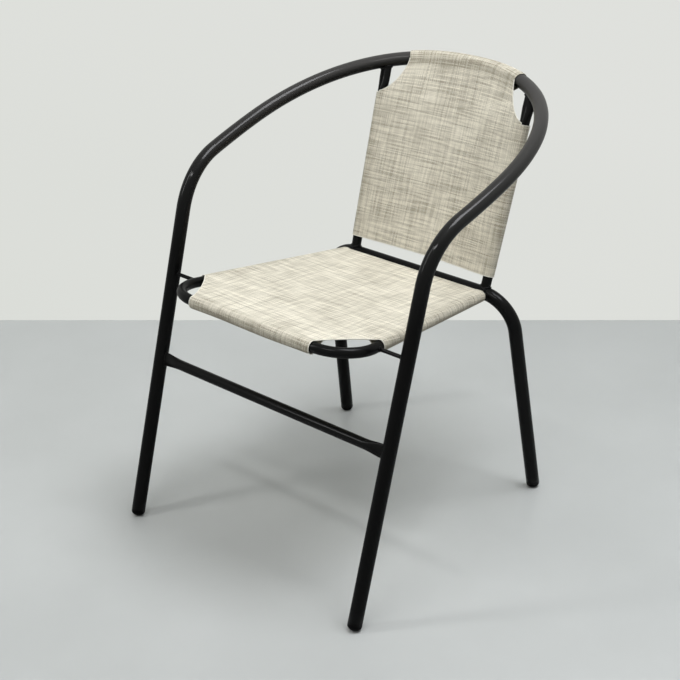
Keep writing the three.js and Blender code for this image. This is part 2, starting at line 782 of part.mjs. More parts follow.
export default chair;
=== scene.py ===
"""Looks of the sling patio armchair: smooth bent tubes, weld beads, foot caps and sewn slings
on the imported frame. Metres, +Z up. The chair faces -Y, and left and right are as seen from in front."""

import math

import bmesh
import bpy
from mathutils import Matrix, Vector
from mathutils.kdtree import KDTree


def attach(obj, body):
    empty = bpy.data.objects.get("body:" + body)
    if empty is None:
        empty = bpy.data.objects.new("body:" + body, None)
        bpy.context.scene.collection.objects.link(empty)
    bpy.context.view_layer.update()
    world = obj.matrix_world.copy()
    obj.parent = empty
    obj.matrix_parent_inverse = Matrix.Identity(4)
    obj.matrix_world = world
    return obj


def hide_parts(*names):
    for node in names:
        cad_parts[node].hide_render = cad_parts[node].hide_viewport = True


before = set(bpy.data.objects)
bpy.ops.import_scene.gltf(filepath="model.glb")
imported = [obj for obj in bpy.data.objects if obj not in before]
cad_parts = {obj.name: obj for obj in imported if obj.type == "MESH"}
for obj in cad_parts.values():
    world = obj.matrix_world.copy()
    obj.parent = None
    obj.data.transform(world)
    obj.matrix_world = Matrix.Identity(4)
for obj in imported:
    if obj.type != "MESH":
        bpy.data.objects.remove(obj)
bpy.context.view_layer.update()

mm = 0.001
degree = math.pi / 180
x_axis = Vector((1, 0, 0))

# Where the chair's own zero, under the front feet, lies in the frame
front_feet_line = -284.461 * mm

# Tube and rod stock, as radii
main_tube = 11 * mm
light_tube = 8 * mm
rear_bar_tube = 6 * mm
strut_rod = 3 * mm
tube_end_height = 7.2 * mm

# Arm hoop
front_foot = Vector((233.3, 0, 0)) * mm
arm_corner = Vector((236, 555 * math.tan(15.6 * degree), 555)) * mm
arm_bend = 113 * mm
arm_rise = 17.2 * degree
arm_widest = 243.6 * mm
arm_length = 131 * mm
hoop_depth = 279 * mm
hoop_fullness = 2.3

# Rear leg bow
rear_foot = Vector((208.6, 502.2, 0)) * mm
crossbar_corner = Vector((187.5, 435, 359.5)) * mm
rear_bend = 59 * mm

# Back uprights and front stretcher. A pressed end has its half width and half depth.
upright_foot_half = 134.4 * mm
upright_top_half = 142.8 * mm
upright_press_length = 24 * mm
upright_press_land = 14 * mm
upright_pressed = (10.25 * mm, 5 * mm)
stretcher_height = 262 * mm
stretcher_press_length = 32 * mm
stretcher_press_land = 2 * mm
stretcher_pressed = (2.8 * mm, 10.75 * mm)

# Foot caps, with radii and with depths below the tube's end
cap_dome = 7.6 * mm
cap_lip = 0.4 * mm
cap_rim, cap_rim_depth = 11.05 * mm, 0.2 * mm
cap_step, cap_step_depth = 10.7 * mm, 0.05 * mm
plug, plug_tip = 9.5 * mm, 7.5 * mm
plug_length, plug_taper = 18 * mm, 1 * mm

# Weld beads
main_bead = 1.7 * mm
stretcher_bead = 1.5 * mm
small_bead = 1.3 * mm
bead_sunk = 0.25
bead_swell = (0.86, 1.12)
weld_run_in = 30 * mm
small_run_in = 24 * mm

# Seat frame: the middle of its front bar, then sizes in its own plane
seat_front = Vector((0, 42.7, 404)) * mm
seat_corner_gap = 30.3 * mm
seat_corner_bend = 57 * mm
seat_rear_spread = 3.5 * mm

# Slings
cloth = 1.2 * mm
laid_cloth = cloth * 0.97
sleeve_room = 0.4 * mm
seat_sag_depth = 2.4 * mm
seat_pull = 0.35 * mm
front_slack = 2.4 * mm
corner_cut_pull = 8 * mm
flap_taper = 0.12
seam_run = 27 * mm
back_seam_run = 18 * mm
top_seam_run = 22 * mm
tail = 6 * mm
tail_droop = 0.6 * mm
front_sleeve_half = 119 * mm
side_sleeve_start = 79 * mm
side_sleeve_stop = 6.5 * mm
rear_sleeve_stop = 3.5 * mm
hem_rise = 28.5 * mm
shoulder_drop = 53 * mm
shoulder_half = 152 * mm
shoulder_fullness = 1.75
top_sleeve_half = 107 * mm
shoulder_steps = 16
bow_fullness = 1.5
bow_at_hem = 0.42

# Edging and stitching
edging_half = 0.85 * mm
stitch_half = (0.26 * mm, 0.2 * mm, 1.3 * mm)
stitch_pitch = 4.2 * mm
stitch_inset = 3 * mm
end_inset = 2 * mm
thread_proud = 0.1 * mm


# How close together two points are one
merge_within = 0.002 * mm
cloth_merge_within = 0.01 * mm
cut_within = 0.001 * mm


# Lines of the frame

def at_height(foot, corner, height):
    return foot.lerp(corner, (height - foot.z) / (corner.z - foot.z))


def flipped(point):
    return Vector((-point.x, point.y, point.z))


# How a right piece's places are turned for each side
sides = (("right", Vector), ("left", flipped))


def straight(start, end):
    """A straight stretch: two knots, each with its place and its handles before and after."""
    return [[start, start, start.lerp(end, 1 / 3)], [end, start.lerp(end, 2 / 3), end]]


def bend(start, way_in, end, way_out, radius):
    pull = 4 / 3 * math.tan(way_in.angle(way_out) / 4) * radius
    return [[start, start, start + way_in * pull], [end, end - way_out * pull, end]]


def corner_bend(before, corner, after, radius):
    way_in = (corner - before).normalized()
    way_out = (after - corner).normalized()
    setback = radius * math.tan(way_in.angle(way_out) / 2)
    return bend(corner - way_in * setback, way_in, corner + way_out * setback, way_out, radius)


def swept(place, first, last, pieces):
    """Knots along a line given by its place at each value between first and last."""
    step = (last - first) / pieces
    near_step = step / 500
    knots = []
    for i in range(pieces + 1):
        value = first + step * i
        rate = (place(value + near_step) - place(value - near_step)) / (2 * near_step)
        knots.append([place(value), place(value) - rate * step / 3, place(value) + rate * step / 3])
    return knots


def chained(*runs):
    """Joins runs that share their end knots."""
    knots = [list(knot) for knot in runs[0]]
    for run in runs[1:]:
        knots[-1][2] = run[0][2]
        knots += [list(knot) for knot in run[1:]]
    return knots


def mirrored(knots):
    return [[flipped(at), flipped(after), flipped(before)] for at, before, after in reversed(knots)]


def hoop_height(y):
    return arm_corner.z + (y - arm_corner.y) * math.tan(arm_rise)


def hoop_point(x, y):
    return Vector((x, y, hoop_height(y)))


arm_widest_at = arm_corner.y + arm_length
front_leg_way = (arm_corner - front_foot).normalized()


def arm_point(y):
    remaining = (arm_widest_at - y) / arm_length
    return hoop_point(arm_widest - (arm_widest - arm_corner.x) * remaining ** 2, y)


def hoop_back(share):
    """The back of the hoop, fuller than an ellipse."""
    across, deep = math.cos(math.pi * share), math.sin(math.pi * share)
    reach = (abs(across) ** hoop_fullness + abs(deep) ** hoop_fullness) ** (-1 / hoop_fullness)
    return hoop_point(arm_widest * reach * across, arm_widest_at + hoop_depth * reach * deep)


def hoop_at(x):
    share = min(abs(x) / arm_widest, 1)
    return hoop_point(x, arm_widest_at + hoop_depth * (1 - share ** hoop_fullness) ** (1 / hoop_fullness))


def hoop_line():
    start = at_height(front_foot, arm_corner, tube_end_height)
    arm_way = Vector((0, math.cos(arm_rise), math.sin(arm_rise)))
    setback = arm_bend * math.tan(front_leg_way.angle(arm_way) / 2)
    bend_start = arm_corner - front_leg_way * setback
    arm = swept(arm_point, arm_corner.y + setback * math.cos(arm_rise), arm_widest_at, 2)
    arm_start_way = (arm[0][2] - arm[0][0]).normalized()
    leg = straight(start, bend_start)
    turn = bend(bend_start, front_leg_way, arm[0][0], arm_start_way, arm_bend)
    half = chained(leg, turn, arm)
    return chained(half, swept(hoop_back, 0, 1, 16), mirrored(half))


def bow_line():
    start = at_height(rear_foot, crossbar_corner, tube_end_height)
    turn = corner_bend(start, crossbar_corner, flipped(crossbar_corner), rear_bend)
    half = chained(straight(start, turn[0][0]), turn)
    return chained(half, straight(turn[1][0], flipped(turn[1][0])), mirrored(half))


seat_fall = crossbar_corner.z - seat_front.z
seat_reach = crossbar_corner.y - seat_front.y
seat_run = math.hypot(seat_reach, seat_fall)
seat_pitch = math.atan2(seat_fall, seat_reach)
seat_place = Matrix.Translation(seat_front) @ Matrix.Rotation(seat_pitch, 4, "X")

leg_at_seat = at_height(front_foot, arm_corner, seat_front.z)
seat_corner_half = leg_at_seat.x - main_tube - seat_corner_gap - light_tube
seat_rear_half = upright_foot_half + seat_rear_spread


def seat_side(y):
    return seat_corner_half + (seat_rear_half - seat_corner_half) * y / seat_run


def in_seat(x, y, z=0.0):
    return seat_place @ Vector((x, y, z))


def seat_line():
    rear, corner = Vector((seat_rear_half, seat_run, 0)), Vector((seat_corner_half, 0, 0))
    turn = corner_bend(rear, corner, flipped(corner), seat_corner_bend)
    half = chained(straight(rear, turn[0][0]), turn)
    knots = chained(half, straight(turn[1][0], flipped(turn[1][0])), mirrored(half))
    return [[seat_place @ point for point in knot] for knot in knots]


# Making and placing pieces

to_frame = Matrix.Translation((0, front_feet_line, 0))


def deselected():
    if bpy.context.object and bpy.context.object.mode != "OBJECT":
        bpy.ops.object.mode_set(mode="OBJECT")
    bpy.ops.object.select_all(action="DESELECT")


def only(piece):
    deselected()
    piece.select_set(True)
    bpy.context.view_layer.objects.active = piece


def settled(piece, name, place=Matrix.Identity(4)):
    """Names a finished mesh, moves it into the frame and leaves its object at the origin."""
    only(piece)
    piece.name = name
    piece.data.name = name
    piece.data.transform(to_frame @ place @ piece.matrix_world)
    piece.matrix_world = Matrix.Identity(4)
    bpy.ops.object.mode_set(mode="EDIT")
    bpy.ops.mesh.select_all(action="SELECT")
    bpy.ops.mesh.remove_doubles(threshold=merge_within)
    bpy.ops.mesh.normals_make_consistent(inside=False)
    bpy.ops.object.mode_set(mode="OBJECT")
    return piece


def bent_tube(name, knots, radius, closed=False, swell=None, fineness=16, roundness=7):
    """A round tube along knots: a curve with a round bevel, made a mesh. A knot that is only a place
    gets its handles by itself."""
    deselected()
    bpy.ops.curve.primitive_bezier_curve_add(location=(0, 0, 0))
    piece = bpy.context.object
    line = piece.data
    line.dimensions = "3D"
    line.resolution_u = fineness
    line.bevel_depth = radius
    line.bevel_resolution = roundness
    line.use_fill_caps = not closed
    line.twist_mode = "MINIMUM"
    spline = line.splines[0]
    spline.bezier_points.add(len(knots) - 2)
    spline.use_cyclic_u = closed
    for i, knot in enumerate(knots):
        point = spline.bezier_points[i]
        if isinstance(knot, Vector):
            point.handle_left_type = point.handle_right_type = "AUTO"
            point.co = knot
        else:
            point.handle_left_type = point.handle_right_type = "FREE"
            point.co, point.handle_left, point.handle_right = knot
        if swell:
            point.radius = swell[i]
    only(piece)
    bpy.ops.object.convert(target="MESH")
    piece = settled(bpy.context.object, name)
    bpy.ops.object.shade_smooth()
    return piece


def drawn_tube(name, stations, place, sides=40):
    """A straight tube drawn along Z: each station has its height and its half sizes across and deep."""
    deselected()
    height, across, deep = stations[0]
    bpy.ops.mesh.primitive_circle_add(vertices=sides, radius=1, fill_type="NGON", location=(0, 0, height))
    piece = bpy.context.object
    bpy.ops.object.mode_set(mode="EDIT")
    bpy.ops.transform.resize(value=(across, deep, 1), center_override=(0, 0, height))
    for up, wide, thick in stations[1:]:
        bpy.ops.mesh.extrude_region_move(TRANSFORM_OT_translate={"value": (0, 0, up - height)})
        bpy.ops.transform.resize(value=(wide / across, thick / deep, 1), center_override=(0, 0, up))
        height, across, deep = up, wide, thick
    bpy.ops.object.mode_set(mode="OBJECT")
    return settled(piece, name, place)


def smoothed(piece, angle=40):
    only(piece)
    bpy.ops.object.shade_smooth_by_angle(angle=angle * degree)
    return piece


def joined(name, parts):
    deselected()
    for part in parts:
        part.select_set(True)
    bpy.context.view_layer.objects.active = parts[0]
    bpy.ops.object.join()
    parts[0].name = name
    parts[0].data.name = name
    return parts[0]


def framed(at, across, deep, along):
    """Where a piece that is drawn along Z goes, with its own X, Y and Z on the three ways given."""
    turned = Matrix((across, deep, along)).transposed().to_4x4()
    return Matrix.Translation(at) @ turned


def eased(share):
    return share * share * (3 - 2 * share)


def spread(first, last, count):
    return [first + (last - first) * i / count for i in range(count + 1)]


def lengths_along(points):
    """How far along a line each of its points lies."""
    found = [0.0]
    for low, high in zip(points, points[1:]):
        found.append(found[-1] + (high - low).length)
    return found


def held(value):
    return max(0.0, min(1.0, value))


def pressed(start, end, round_half, across, deep, steps=10):
    """Stations from a round tube to its pressed end."""
    found = []
    for height, share in zip(spread(start, end, steps), spread(0, 1, steps)):
        ease = eased(share)
        found.append((height, round_half + (across - round_half) * ease,
                      round_half + (deep - round_half) * ease))
    return found


# Frame pieces

hoop_knots = hoop_line()
bow_knots = bow_line()
seat_knots = seat_line()

arm_hoop = bent_tube("arm_hoop_tube", hoop_knots, main_tube, fineness=20)
rear_bow = bent_tube("rear_leg_bow_tube", bow_knots, main_tube, fineness=20)
seat_ring = bent_tube("seat_frame_tube", seat_knots, light_tube, fineness=20)


def sleeve_middle(tube):
    return tube + sleeve_room + cloth / 2


def sleeve_outside(tube):
    return tube + sleeve_room + cloth


rear_bar_at = seat_run - main_tube - rear_sleeve_stop - sleeve_outside(rear_bar_tube)
rear_bar_up = light_tube - rear_bar_tube
rear_bar_half = seat_side(rear_bar_at)
rear_bar_end = in_seat(rear_bar_half, rear_bar_at, rear_bar_up)
rear_bar = bent_tube("rear_seat_bar_tube", straight(flipped(rear_bar_end), rear_bar_end), rear_bar_tube,
                     fineness=4)

slope = math.tan(seat_pitch)
leg_lean = front_leg_way.y / front_leg_way.z
strut_height = (seat_front.z - seat_front.y * slope) / (1 - leg_lean * slope)
strut_leg = at_height(front_foot, arm_corner, strut_height)
strut_along = (strut_leg.y - seat_front.y) / math.cos(seat_pitch)
strut_inner = Vector((seat_side(strut_along), strut_leg.y, strut_leg.z))
struts = [bent_tube(f"seat_strut_{side}_rod", straight(turn(strut_inner), turn(strut_leg)), strut_rod,
                    fineness=4) for side, turn in sides]

upright_foot = Vector((upright_foot_half, crossbar_corner.y, crossbar_corner.z))
upright_top = hoop_at(upright_top_half)
upright_way = (upright_top - upright_foot).normalized()
upright_length = (upright_top - upright_foot).length
upright_forward = x_axis.cross(upright_way).normalized()
upright_inward = upright_forward.cross(upright_way).normalized()


def back_upright(side, turn):
    way = turn(upright_way)
    forward = x_axis.cross(way).normalized()
    across = way.cross(forward).normalized() * -1
    press_end = upright_length - main_tube - upright_press_land
    stations = [(0, light_tube, light_tube)]
    stations += pressed(press_end - upright_press_length, press_end, light_tube, *upright_pressed)
    stations.append((upright_length, *upright_pressed))
    return drawn_tube(f"back_upright_{side}_tube", stations,
                      framed(turn(upright_foot), across, forward * -1, way))


uprights = [back_upright(side, turn) for side, turn in sides]

back_of_leg = Vector((0, front_leg_way.z, -front_leg_way.y)).normalized()
leg_up = Vector((0, front_leg_way.y, front_leg_way.z)).normalized()
stretcher_leg = at_height(front_foot, arm_corner, stretcher_height)
press_end = stretcher_leg.x - main_tube - stretcher_press_land
half_press = pressed(press_end - stretcher_press_length, press_end, light_tube, *stretcher_pressed, steps=16)
half_press.append((stretcher_leg.x, *stretcher_pressed))
stretcher = drawn_tube(
    "front_stretcher_tube",
    [(-height, across, deep) for height, across, deep in reversed(half_press)] + half_press,
    framed(Vector((0, stretcher_leg.y, stretcher_leg.z)), back_of_leg, leg_up, x_axis))

for tube in (*uprights, stretcher):
    smoothed(tube)


# Foot caps

def foot_cap(name, foot, corner, turn, rings=9, first_ring=0.25):
    """A plug with a domed foot, cut level with the floor."""
    way = turn((corner - foot).normalized())
    profile = []
    for i in range(rings):
        angle = math.pi / 2 * (i + first_ring) / (rings - 1 + first_ring)
        profile.append((-cap_lip - cap_dome * math.cos(angle), main_tube * math.sin(angle)))
    profile += [(-cap_rim_depth, cap_rim), (-cap_step_depth, cap_step), (0, plug),
                (plug_length - plug_taper, plug), (plug_length, plug_tip)]
    across = Vector((0, 1, 0)).cross(way).normalized()
    end = turn(at_height(foot, corner, tube_end_height))
    cap = drawn_tube(name, [(height, half, half) for height, half in profile],
                     framed(end, across, way.cross(across), way))
    only(cap)
    bpy.ops.object.mode_set(mode="EDIT")
    bpy.ops.mesh.select_all(action="SELECT")
    bpy.ops.mesh.bisect(plane_co=(0, 0, 0), plane_no=(0, 0, 1), clear_inner=True, use_fill=True,
                        threshold=cut_within)
    bpy.ops.object.mode_set(mode="OBJECT")
    return smoothed(cap)


leg_lines = (("front", front_foot, arm_corner), ("rear", rear_foot, crossbar_corner))
caps = [foot_cap(f"foot_cap_{end}_{side}_plug", foot, corner, turn)
        for end, foot, corner in leg_lines for side, turn in sides]


# Weld beads

def points_along(knots, per_run=24):
    """Points on a line of knots, close enough together to measure from."""
    found = []
    for (start, _, out), (end, into, _) in zip(knots, knots[1:]):
        for i in range(per_run):
            t = i / per_run
            found.append(start * (1 - t) ** 3 + out * 3 * t * (1 - t) ** 2
                         + into * 3 * t * t * (1 - t) + end * t ** 3)
    found.append(knots[-1][0])
    return found


def distance_to(line, point):
    best = 1.0
    for start, end in zip(line, line[1:]):
        along = end - start
        share = max(0, min(1, (point - start).dot(along) / along.length_squared))
        best = min(best, (start + along * share - point).length)
    return best


def near(line, point, reach=60 * mm):
    """The part of a line that lies round a point."""
    close = [i for i, at in enumerate(line) if (at - point).length < reach]
    return line[max(0, min(close) - 1):max(close) + 2]


def weld_bead(start, way, halves, axes, line, radius, bead, ripples, halvings=22):
    """A rippled bead where a tube that runs from start along way meets the surface round a line."""
    count = ripples * 2
    knots, swell = [], []
    for i in range(count):
        angle = 2 * math.pi * i / count
        side = axes[0] * (halves[0] * math.cos(angle)) + axes[1] * (halves[1] * math.sin(angle))
        low, high = 0.0, way.length
        for _ in range(halvings):
            middle = (low + high) / 2
            if distance_to(line, start + side + way.normalized() * middle) > radius:
                low = middle
            else:
                high = middle
        knots.append(start + side + way.normalized() * (low - bead * bead_sunk))
        swell.append(bead_swell[i % 2])
    return bent_tube("bead", knots, bead, closed=True, swell=swell, fineness=4, roundness=2)


hoop_points = points_along(hoop_knots)
bow_points = points_along(bow_knots)
seat_points = points_along(seat_knots)


def beads_on_both_sides(name, end, way, halves, axes, line, radius, bead=main_bead, ripples=15,
                        run_in=weld_run_in):
    """The same weld on the right and on the left, for a tube that comes to its end along way."""
    start = end - way * run_in
    beads = []
    for _, turn in sides:
        beads.append(weld_bead(turn(start), turn(way * run_in), halves, [turn(axis) for axis in axes],
                               near(line, turn(end)), radius, bead, ripples))
    return joined(name, beads)


seat_up = (seat_place.to_3x3() @ Vector((0, 0, 1))).normalized()
seat_back = (seat_place.to_3x3() @ Vector((0, 1, 0))).normalized()
seat_rear_end = in_seat(seat_rear_half, seat_run)
side_way = (seat_rear_end - in_seat(seat_corner_half, 0)).normalized()
upright_axes = (upright_inward, upright_forward)

welds = [
    beads_on_both_sides("stretcher_welds", stretcher_leg, x_axis, stretcher_pressed, (back_of_leg, leg_up),
                        hoop_points, main_tube, bead=stretcher_bead, ripples=13),
    beads_on_both_sides("upright_foot_welds", upright_foot, -upright_way, (light_tube, light_tube),
                        upright_axes, bow_points, main_tube),
    beads_on_both_sides("upright_top_welds", upright_top, upright_way, upright_pressed, upright_axes,
                        hoop_points, main_tube),
    beads_on_both_sides("seat_frame_welds", seat_rear_end, side_way, (light_tube, light_tube),
                        (side_way.cross(seat_up).normalized(), seat_up), bow_points, main_tube),
    beads_on_both_sides("rear_bar_welds", rear_bar_end, x_axis, (rear_bar_tube, rear_bar_tube),
                        (seat_back, seat_up), seat_points, light_tube, bead=small_bead, ripples=13,
                        run_in=small_run_in),
    beads_on_both_sides("strut_leg_welds", strut_leg, x_axis, (strut_rod, strut_rod), (back_of_leg, leg_up),
                        hoop_points, main_tube, bead=small_bead, ripples=8, run_in=small_run_in),
    beads_on_both_sides("strut_frame_welds", strut_inner, -x_axis, (strut_rod, strut_rod),
                        (seat_back, seat_up), seat_points, light_tube, bead=small_bead, ripples=8,
                        run_in=small_run_in),
]


# Slings

def wrap(middle, seam, steps=14):
    """Section of a sleeve, inward and up from the tube's axis: from the sheet over the tube, round
    the outside of the tube and back under the sheet to the seam."""
    inward = Vector((seam[0], seam[1] - laid_cloth))
    first = math.pi / 2
    last = 2 * math.pi + math.atan2(inward.y, inward.x) - math.acos(middle / inward.length)
    found = [Vector((middle * math.cos(first + (last - first) * i / steps),
                     middle * math.sin(first + (last - first) * i / steps))) for i in range(1, steps + 1)]
    leave = found[-1]
    found += [leave.lerp(inward, share) for share in spread(0, 1, count=4)[1:]]
    return found


class Sheet:
    """Patches of a sheet of cloth: grids of places, each with its own place on the flat cloth."""

    def __init__(self):
        self.mesh = bmesh.new()
        self.flat = self.mesh.loops.layers.uv.new("flat_cloth")

    def patch(self, rows):
        grid = [[(self.mesh.verts.new(place), flat) for place, flat in row] for row in rows]
        for low, high in zip(grid, grid[1:]):
            for i in range(len(low) - 1):
                corners = (low[i], low[i + 1], high[i + 1], high[i])
                face = self.mesh.faces.new([vert for vert, _ in corners])
                for loop, (_, flat) in zip(face.loops, corners):
                    loop[self.flat].uv = flat

    def made(self, name):
        bmesh.ops.remove_doubles(self.mesh, verts=self.mesh.verts, dist=cloth_merge_within)
        bmesh.ops.recalc_face_normals(self.mesh, faces=self.mesh.faces)
        data = bpy.data.meshes.new(name)
        self.mesh.to_mesh(data)
        self.mesh.free()
        data.transform(to_frame)
        piece = bpy.data.objects.new(name, data)
        bpy.context.scene.collection.objects.link(piece)
        only(piece)
        thick = piece.modifiers.new("thickness", "SOLIDIFY")
        thick.thickness = cloth
        thick.offset = 0
        thick.use_even_offset = True
        round_off = piece.modifiers.new("rounding", "SUBSURF")
        round_off.levels = round_off.render_levels = 1
        bpy.ops.object.modifier_apply(modifier="thickness")
        bpy.ops.object.modifier_apply(modifier="rounding")
        bpy.ops.object.mode_set(mode="EDIT")
        bpy.ops.mesh.select_all(action="SELECT")
        bpy.ops.mesh.normals_make_consistent(inside=False)
        bpy.ops.object.mode_set(mode="OBJECT")
        bpy.ops.object.shade_smooth()
        return piece


# Seat sling, in the seat's plane
sheet_level = sleeve_middle(light_tube)
side_sleeve_end = seat_run - main_tube - side_sleeve_stop
side_band = sleeve_outside(light_tube)
tail_level = sheet_level - laid_cloth - tail_droop


def seat_cut():
    """The curved cut across the front corner: half widths against the distance from the front."""
    start = Vector((front_sleeve_half, 0))
    end = Vector((seat_side(side_sleeve_start), side_sleeve_start))
    chord = end - start
    pull = start.lerp(end, 0.5) + Vector((-chord.y, chord.x)).normalized() * corner_cut_pull
    return [start * (1 - t) ** 2 + pull * 2 * t * (1 - t) + end * t * t for t in spread(0, 1, count=16)]


cut_line = seat_cut()


def seat_half(y):
    if y >= side_sleeve_start:
        return seat_side(y)
    for low, high in zip(cut_line, cut_line[1:]):
        if y <= high.y:
            return low.x + (high.x - low.x) * (y - low.y) / (high.y - low.y)
    return cut_line[-1].x


def seat_sag(x, y):
    """How far the stretched sheet hangs between its sleeves, with faint pulls from the corners."""
    pulls_across, pulls_along, first_pull = 95, 41, 1.3
    half = seat_half(min(max(y, 0), seat_run))
    across = max(0.0, 1 - (x / half) ** 2)
    along = max(0.0, 1 - ((y - rear_bar_at / 2) / (rear_bar_at / 2)) ** 2)
    pull = seat_pull * math.sin(x * pulls_across) * math.sin(y * pulls_along + first_pull) * across
    return (-seat_sag_depth * across - pull) * along


def front_hang(x, depth):
    """How far the loose front sleeve hangs below its tube. Depth runs from -1 at the tube's bottom
    to 1 at its top, and the cloth starts to hang a little above the tube's middle."""
    unevenness, waves, first_wave, hang_from = 0.3, 31, 0.6, 0.35
    return front_slack * (1 + unevenness * math.sin(x * waves + first_wave)) * eased(held(hang_from - depth))


def seat_sling():
    sheet = Sheet()
    inner_columns = 48
    rows = spread(0, side_sleeve_start, count=14) + spread(side_sleeve_start, rear_bar_at, count=46)[1:]

    def row_at(y):
        half = seat_half(y)
        band = half - side_band
        edge = [band + side_band / 2, half]
        places = [-edge[1], -edge[0]] + spread(-band, band, inner_columns) + edge
        return [(in_seat(x, y, sheet_level + seat_sag(x, y)), (x, y)) for x in places]

    sheet.patch([row_at(y) for y in rows])

    def side_row(y, sign):
        half = seat_side(y)
        section = [Vector((0, sheet_level)), *wrap(sheet_level, (seam_run, sheet_level))]
        lengths = lengths_along(section)
        found = [(in_seat(sign * (half - point.x), y, point.y), (sign * (half + length), y))
                 for point, length in zip(section, lengths)]
        tail_end = in_seat(sign * (half - seam_run - tail), y, tail_level)
        return found + [(tail_end, (sign * (half + lengths[-1] + tail), y))]

    side_rows = [y for y in rows if y >= side_sleeve_start] + [side_sleeve_end]
    for sign in (1, -1):
        sheet.patch([side_row(y, sign) for y in side_rows])
        corner = []
        for y in (rear_bar_at, side_sleeve_end):
            half = seat_side(y)
            corner.append([(in_seat(sign * x, y, sheet_level), (sign * x, y))
                           for x in (half - side_band, half - side_band / 2, half)])
        sheet.patch(corner)

    def end_rows(y, up, middle, inward, row, drop=lambda x, depth: 0.0):
        """A sleeve round a cross bar, from the last row of the sheet."""
        section = [Vector((0, middle)), *wrap(middle, (seam_run, middle)),
                   Vector((seam_run + tail, middle - laid_cloth - tail_droop))]
        found = [row]
        for point, length in list(zip(section, lengths_along(section)))[1:]:
            line = []
            for _, (x, _) in row:
                height = up + point.y - drop(x, point.y / middle)
                line.append((in_seat(x, y + inward * point.x, height), (x, y - inward * length)))
            found.append(line)
        return found

    sheet.patch(end_rows(0, 0, sheet_level, 1, row_at(0), front_hang))
    rear_row = row_at(rear_bar_at)[2:-2]
    sheet.patch(end_rows(rear_bar_at, rear_bar_up, sleeve_middle(rear_bar_tube), -1, rear_row))
    return sheet.made("seat_sling_cloth")


# Back sling, from the crossbar to the hoop
hem_at = hem_rise / upright_length
shoulder_at = 1 - shoulder_drop / upright_length
upright_level = sleeve_middle(light_tube)
hoop_level = sleeve_middle(main_tube)


def upright_at(t):
    return upright_foot.lerp(upright_top, t)


def hoop_ways(x):
    """The ways along the hoop, down the sheet and forward from it, at a place across its back."""
    share = abs(x) / arm_widest
    fall = (1 - share ** hoop_fullness) ** (1 / hoop_fullness - 1) * share ** (hoop_fullness - 1)
    slope_here = -math.copysign(1, x) * fall * hoop_depth / arm_widest
    along = Vector((1, slope_here, slope_here * math.tan(arm_rise))).normalized()
    down = Vector((0, -upright_way.y, -upright_way.z))
    down = (down - along * down.dot(along)).normalized()
    return along, down, down.cross(along).normalized()


def back_point(x, t):
    """The sheet's middle: flat on the uprights' fronts, bowed back between them, on the hoop at the top."""
    axis = upright_at(t)
    flat = Vector((x, axis.y, axis.z)) + upright_forward * upright_level

    def top_flat(at):
        return Vector((at, upright_top.y, upright_top.z)) + upright_forward * upright_level

    def top_point(at):
        return hoop_at(at) + hoop_ways(at)[2] * hoop_level

    depth = (top_point(0) - top_flat(0)).dot(upright_forward)
    share = max(0.0, 1 - (x / axis.x) ** 2) ** bow_fullness
    grown = bow_at_hem + (1 - bow_at_hem) * t
    bowed = upright_forward * (depth * share * grown)
    if t <= shoulder_at:
        return flat + bowed
    follow = eased(min((t - shoulder_at) / (1 - shoulder_at), 1))
    return flat + bowed * (1 - follow) + (top_point(x) - top_flat(x)) * follow


def shoulder_rows():
    """Heights and half widths of the rows above the shoulder, along the cut."""
    power = 2 / shoulder_fullness
    found = []
    for angle in spread(0, math.pi / 2, shoulder_steps)[1:]:
        t = 1 - (1 - shoulder_at) * abs(math.cos(angle)) ** power
        cut = shoulder_half - (shoulder_half - top_sleeve_half) * math.sin(angle) ** power
        found.append((t, min(upright_at(t).x, cut)))
    return found


def back_row(t, half, columns=44):
    places = [back_point(x, t) for x in spread(-half, half, columns)]
    lengths = lengths_along(places)
    middle = lengths[columns // 2]
    return [(place, (length - middle, t * upright_length)) for place, length in zip(places, lengths)]


def flap(at, inward, up, middle, seam, past_seam, start_flat, way_out):
    """One row of a sleeve, from the sheet round the tube to the tail that lies on the sheet past the seam."""
    lain = Vector(past_seam) - (Vector(past_seam) - Vector(seam)).orthogonal().normalized() * cloth
    section = [Vector((0, middle)), *wrap(middle, seam), lain]
    found = []
    for point, length in list(zip(section, lengths_along(section)))[1:]:
        flat = (start_flat[0] + way_out[0] * length, start_flat[1] + way_out[1] * length)
        found.append((at + inward * point.x + up * point.y, flat))
    return found


def back_sling():
    sheet = Sheet()
    lower = spread(hem_at, shoulder_at, count=36)
    rows = [back_row(t, upright_at(t).x) for t in lower]
    rows += [back_row(t, half) for t, half in shoulder_rows()]
    sheet.patch(rows)
    for sign, (_, turn) in zip((1, -1), sides):
        side_rows = []
        for t, row in zip(lower, rows):
            axis = upright_at(t)
            joins = [back_point(axis.x - run, t) - axis for run in (back_seam_run, back_seam_run + tail)]
            seams = [(join.dot(upright_inward), join.dot(upright_forward)) for join in joins]
            edge = row[-1] if sign > 0 else row[0]
            side_rows.append([edge] + flap(turn(axis), turn(upright_inward), upright_forward, upright_level,
                                           *seams, edge[1], (sign, 0)))
        sheet.patch(side_rows)
    top_rows, tries = [], 4
    for x, (place, flat) in zip(spread(-top_sleeve_half, top_sleeve_half, len(rows[-1]) - 1), rows[-1]):
        share = x / top_sleeve_half
        along, down, forward = hoop_ways(x)
        axis = hoop_at(x)
        seams = []
        for run in (top_seam_run, top_seam_run + tail):
            across, join = x, None
            for _ in range(tries):
                join = back_point(across, 1 - run / upright_length) - axis
                across += join.dot(along) * -1 - join.dot(down) * flap_taper * share
            seams.append((join.dot(down), join.dot(forward)))
        top_rows.append([(place, flat)] + flap(axis, down - along * flap_taper * share, forward, hoop_level,
                                               *seams, flat, (0, 1)))
    sheet.patch([list(column) for column in zip(*top_rows)])
    return sheet.made("back_sling_cloth")


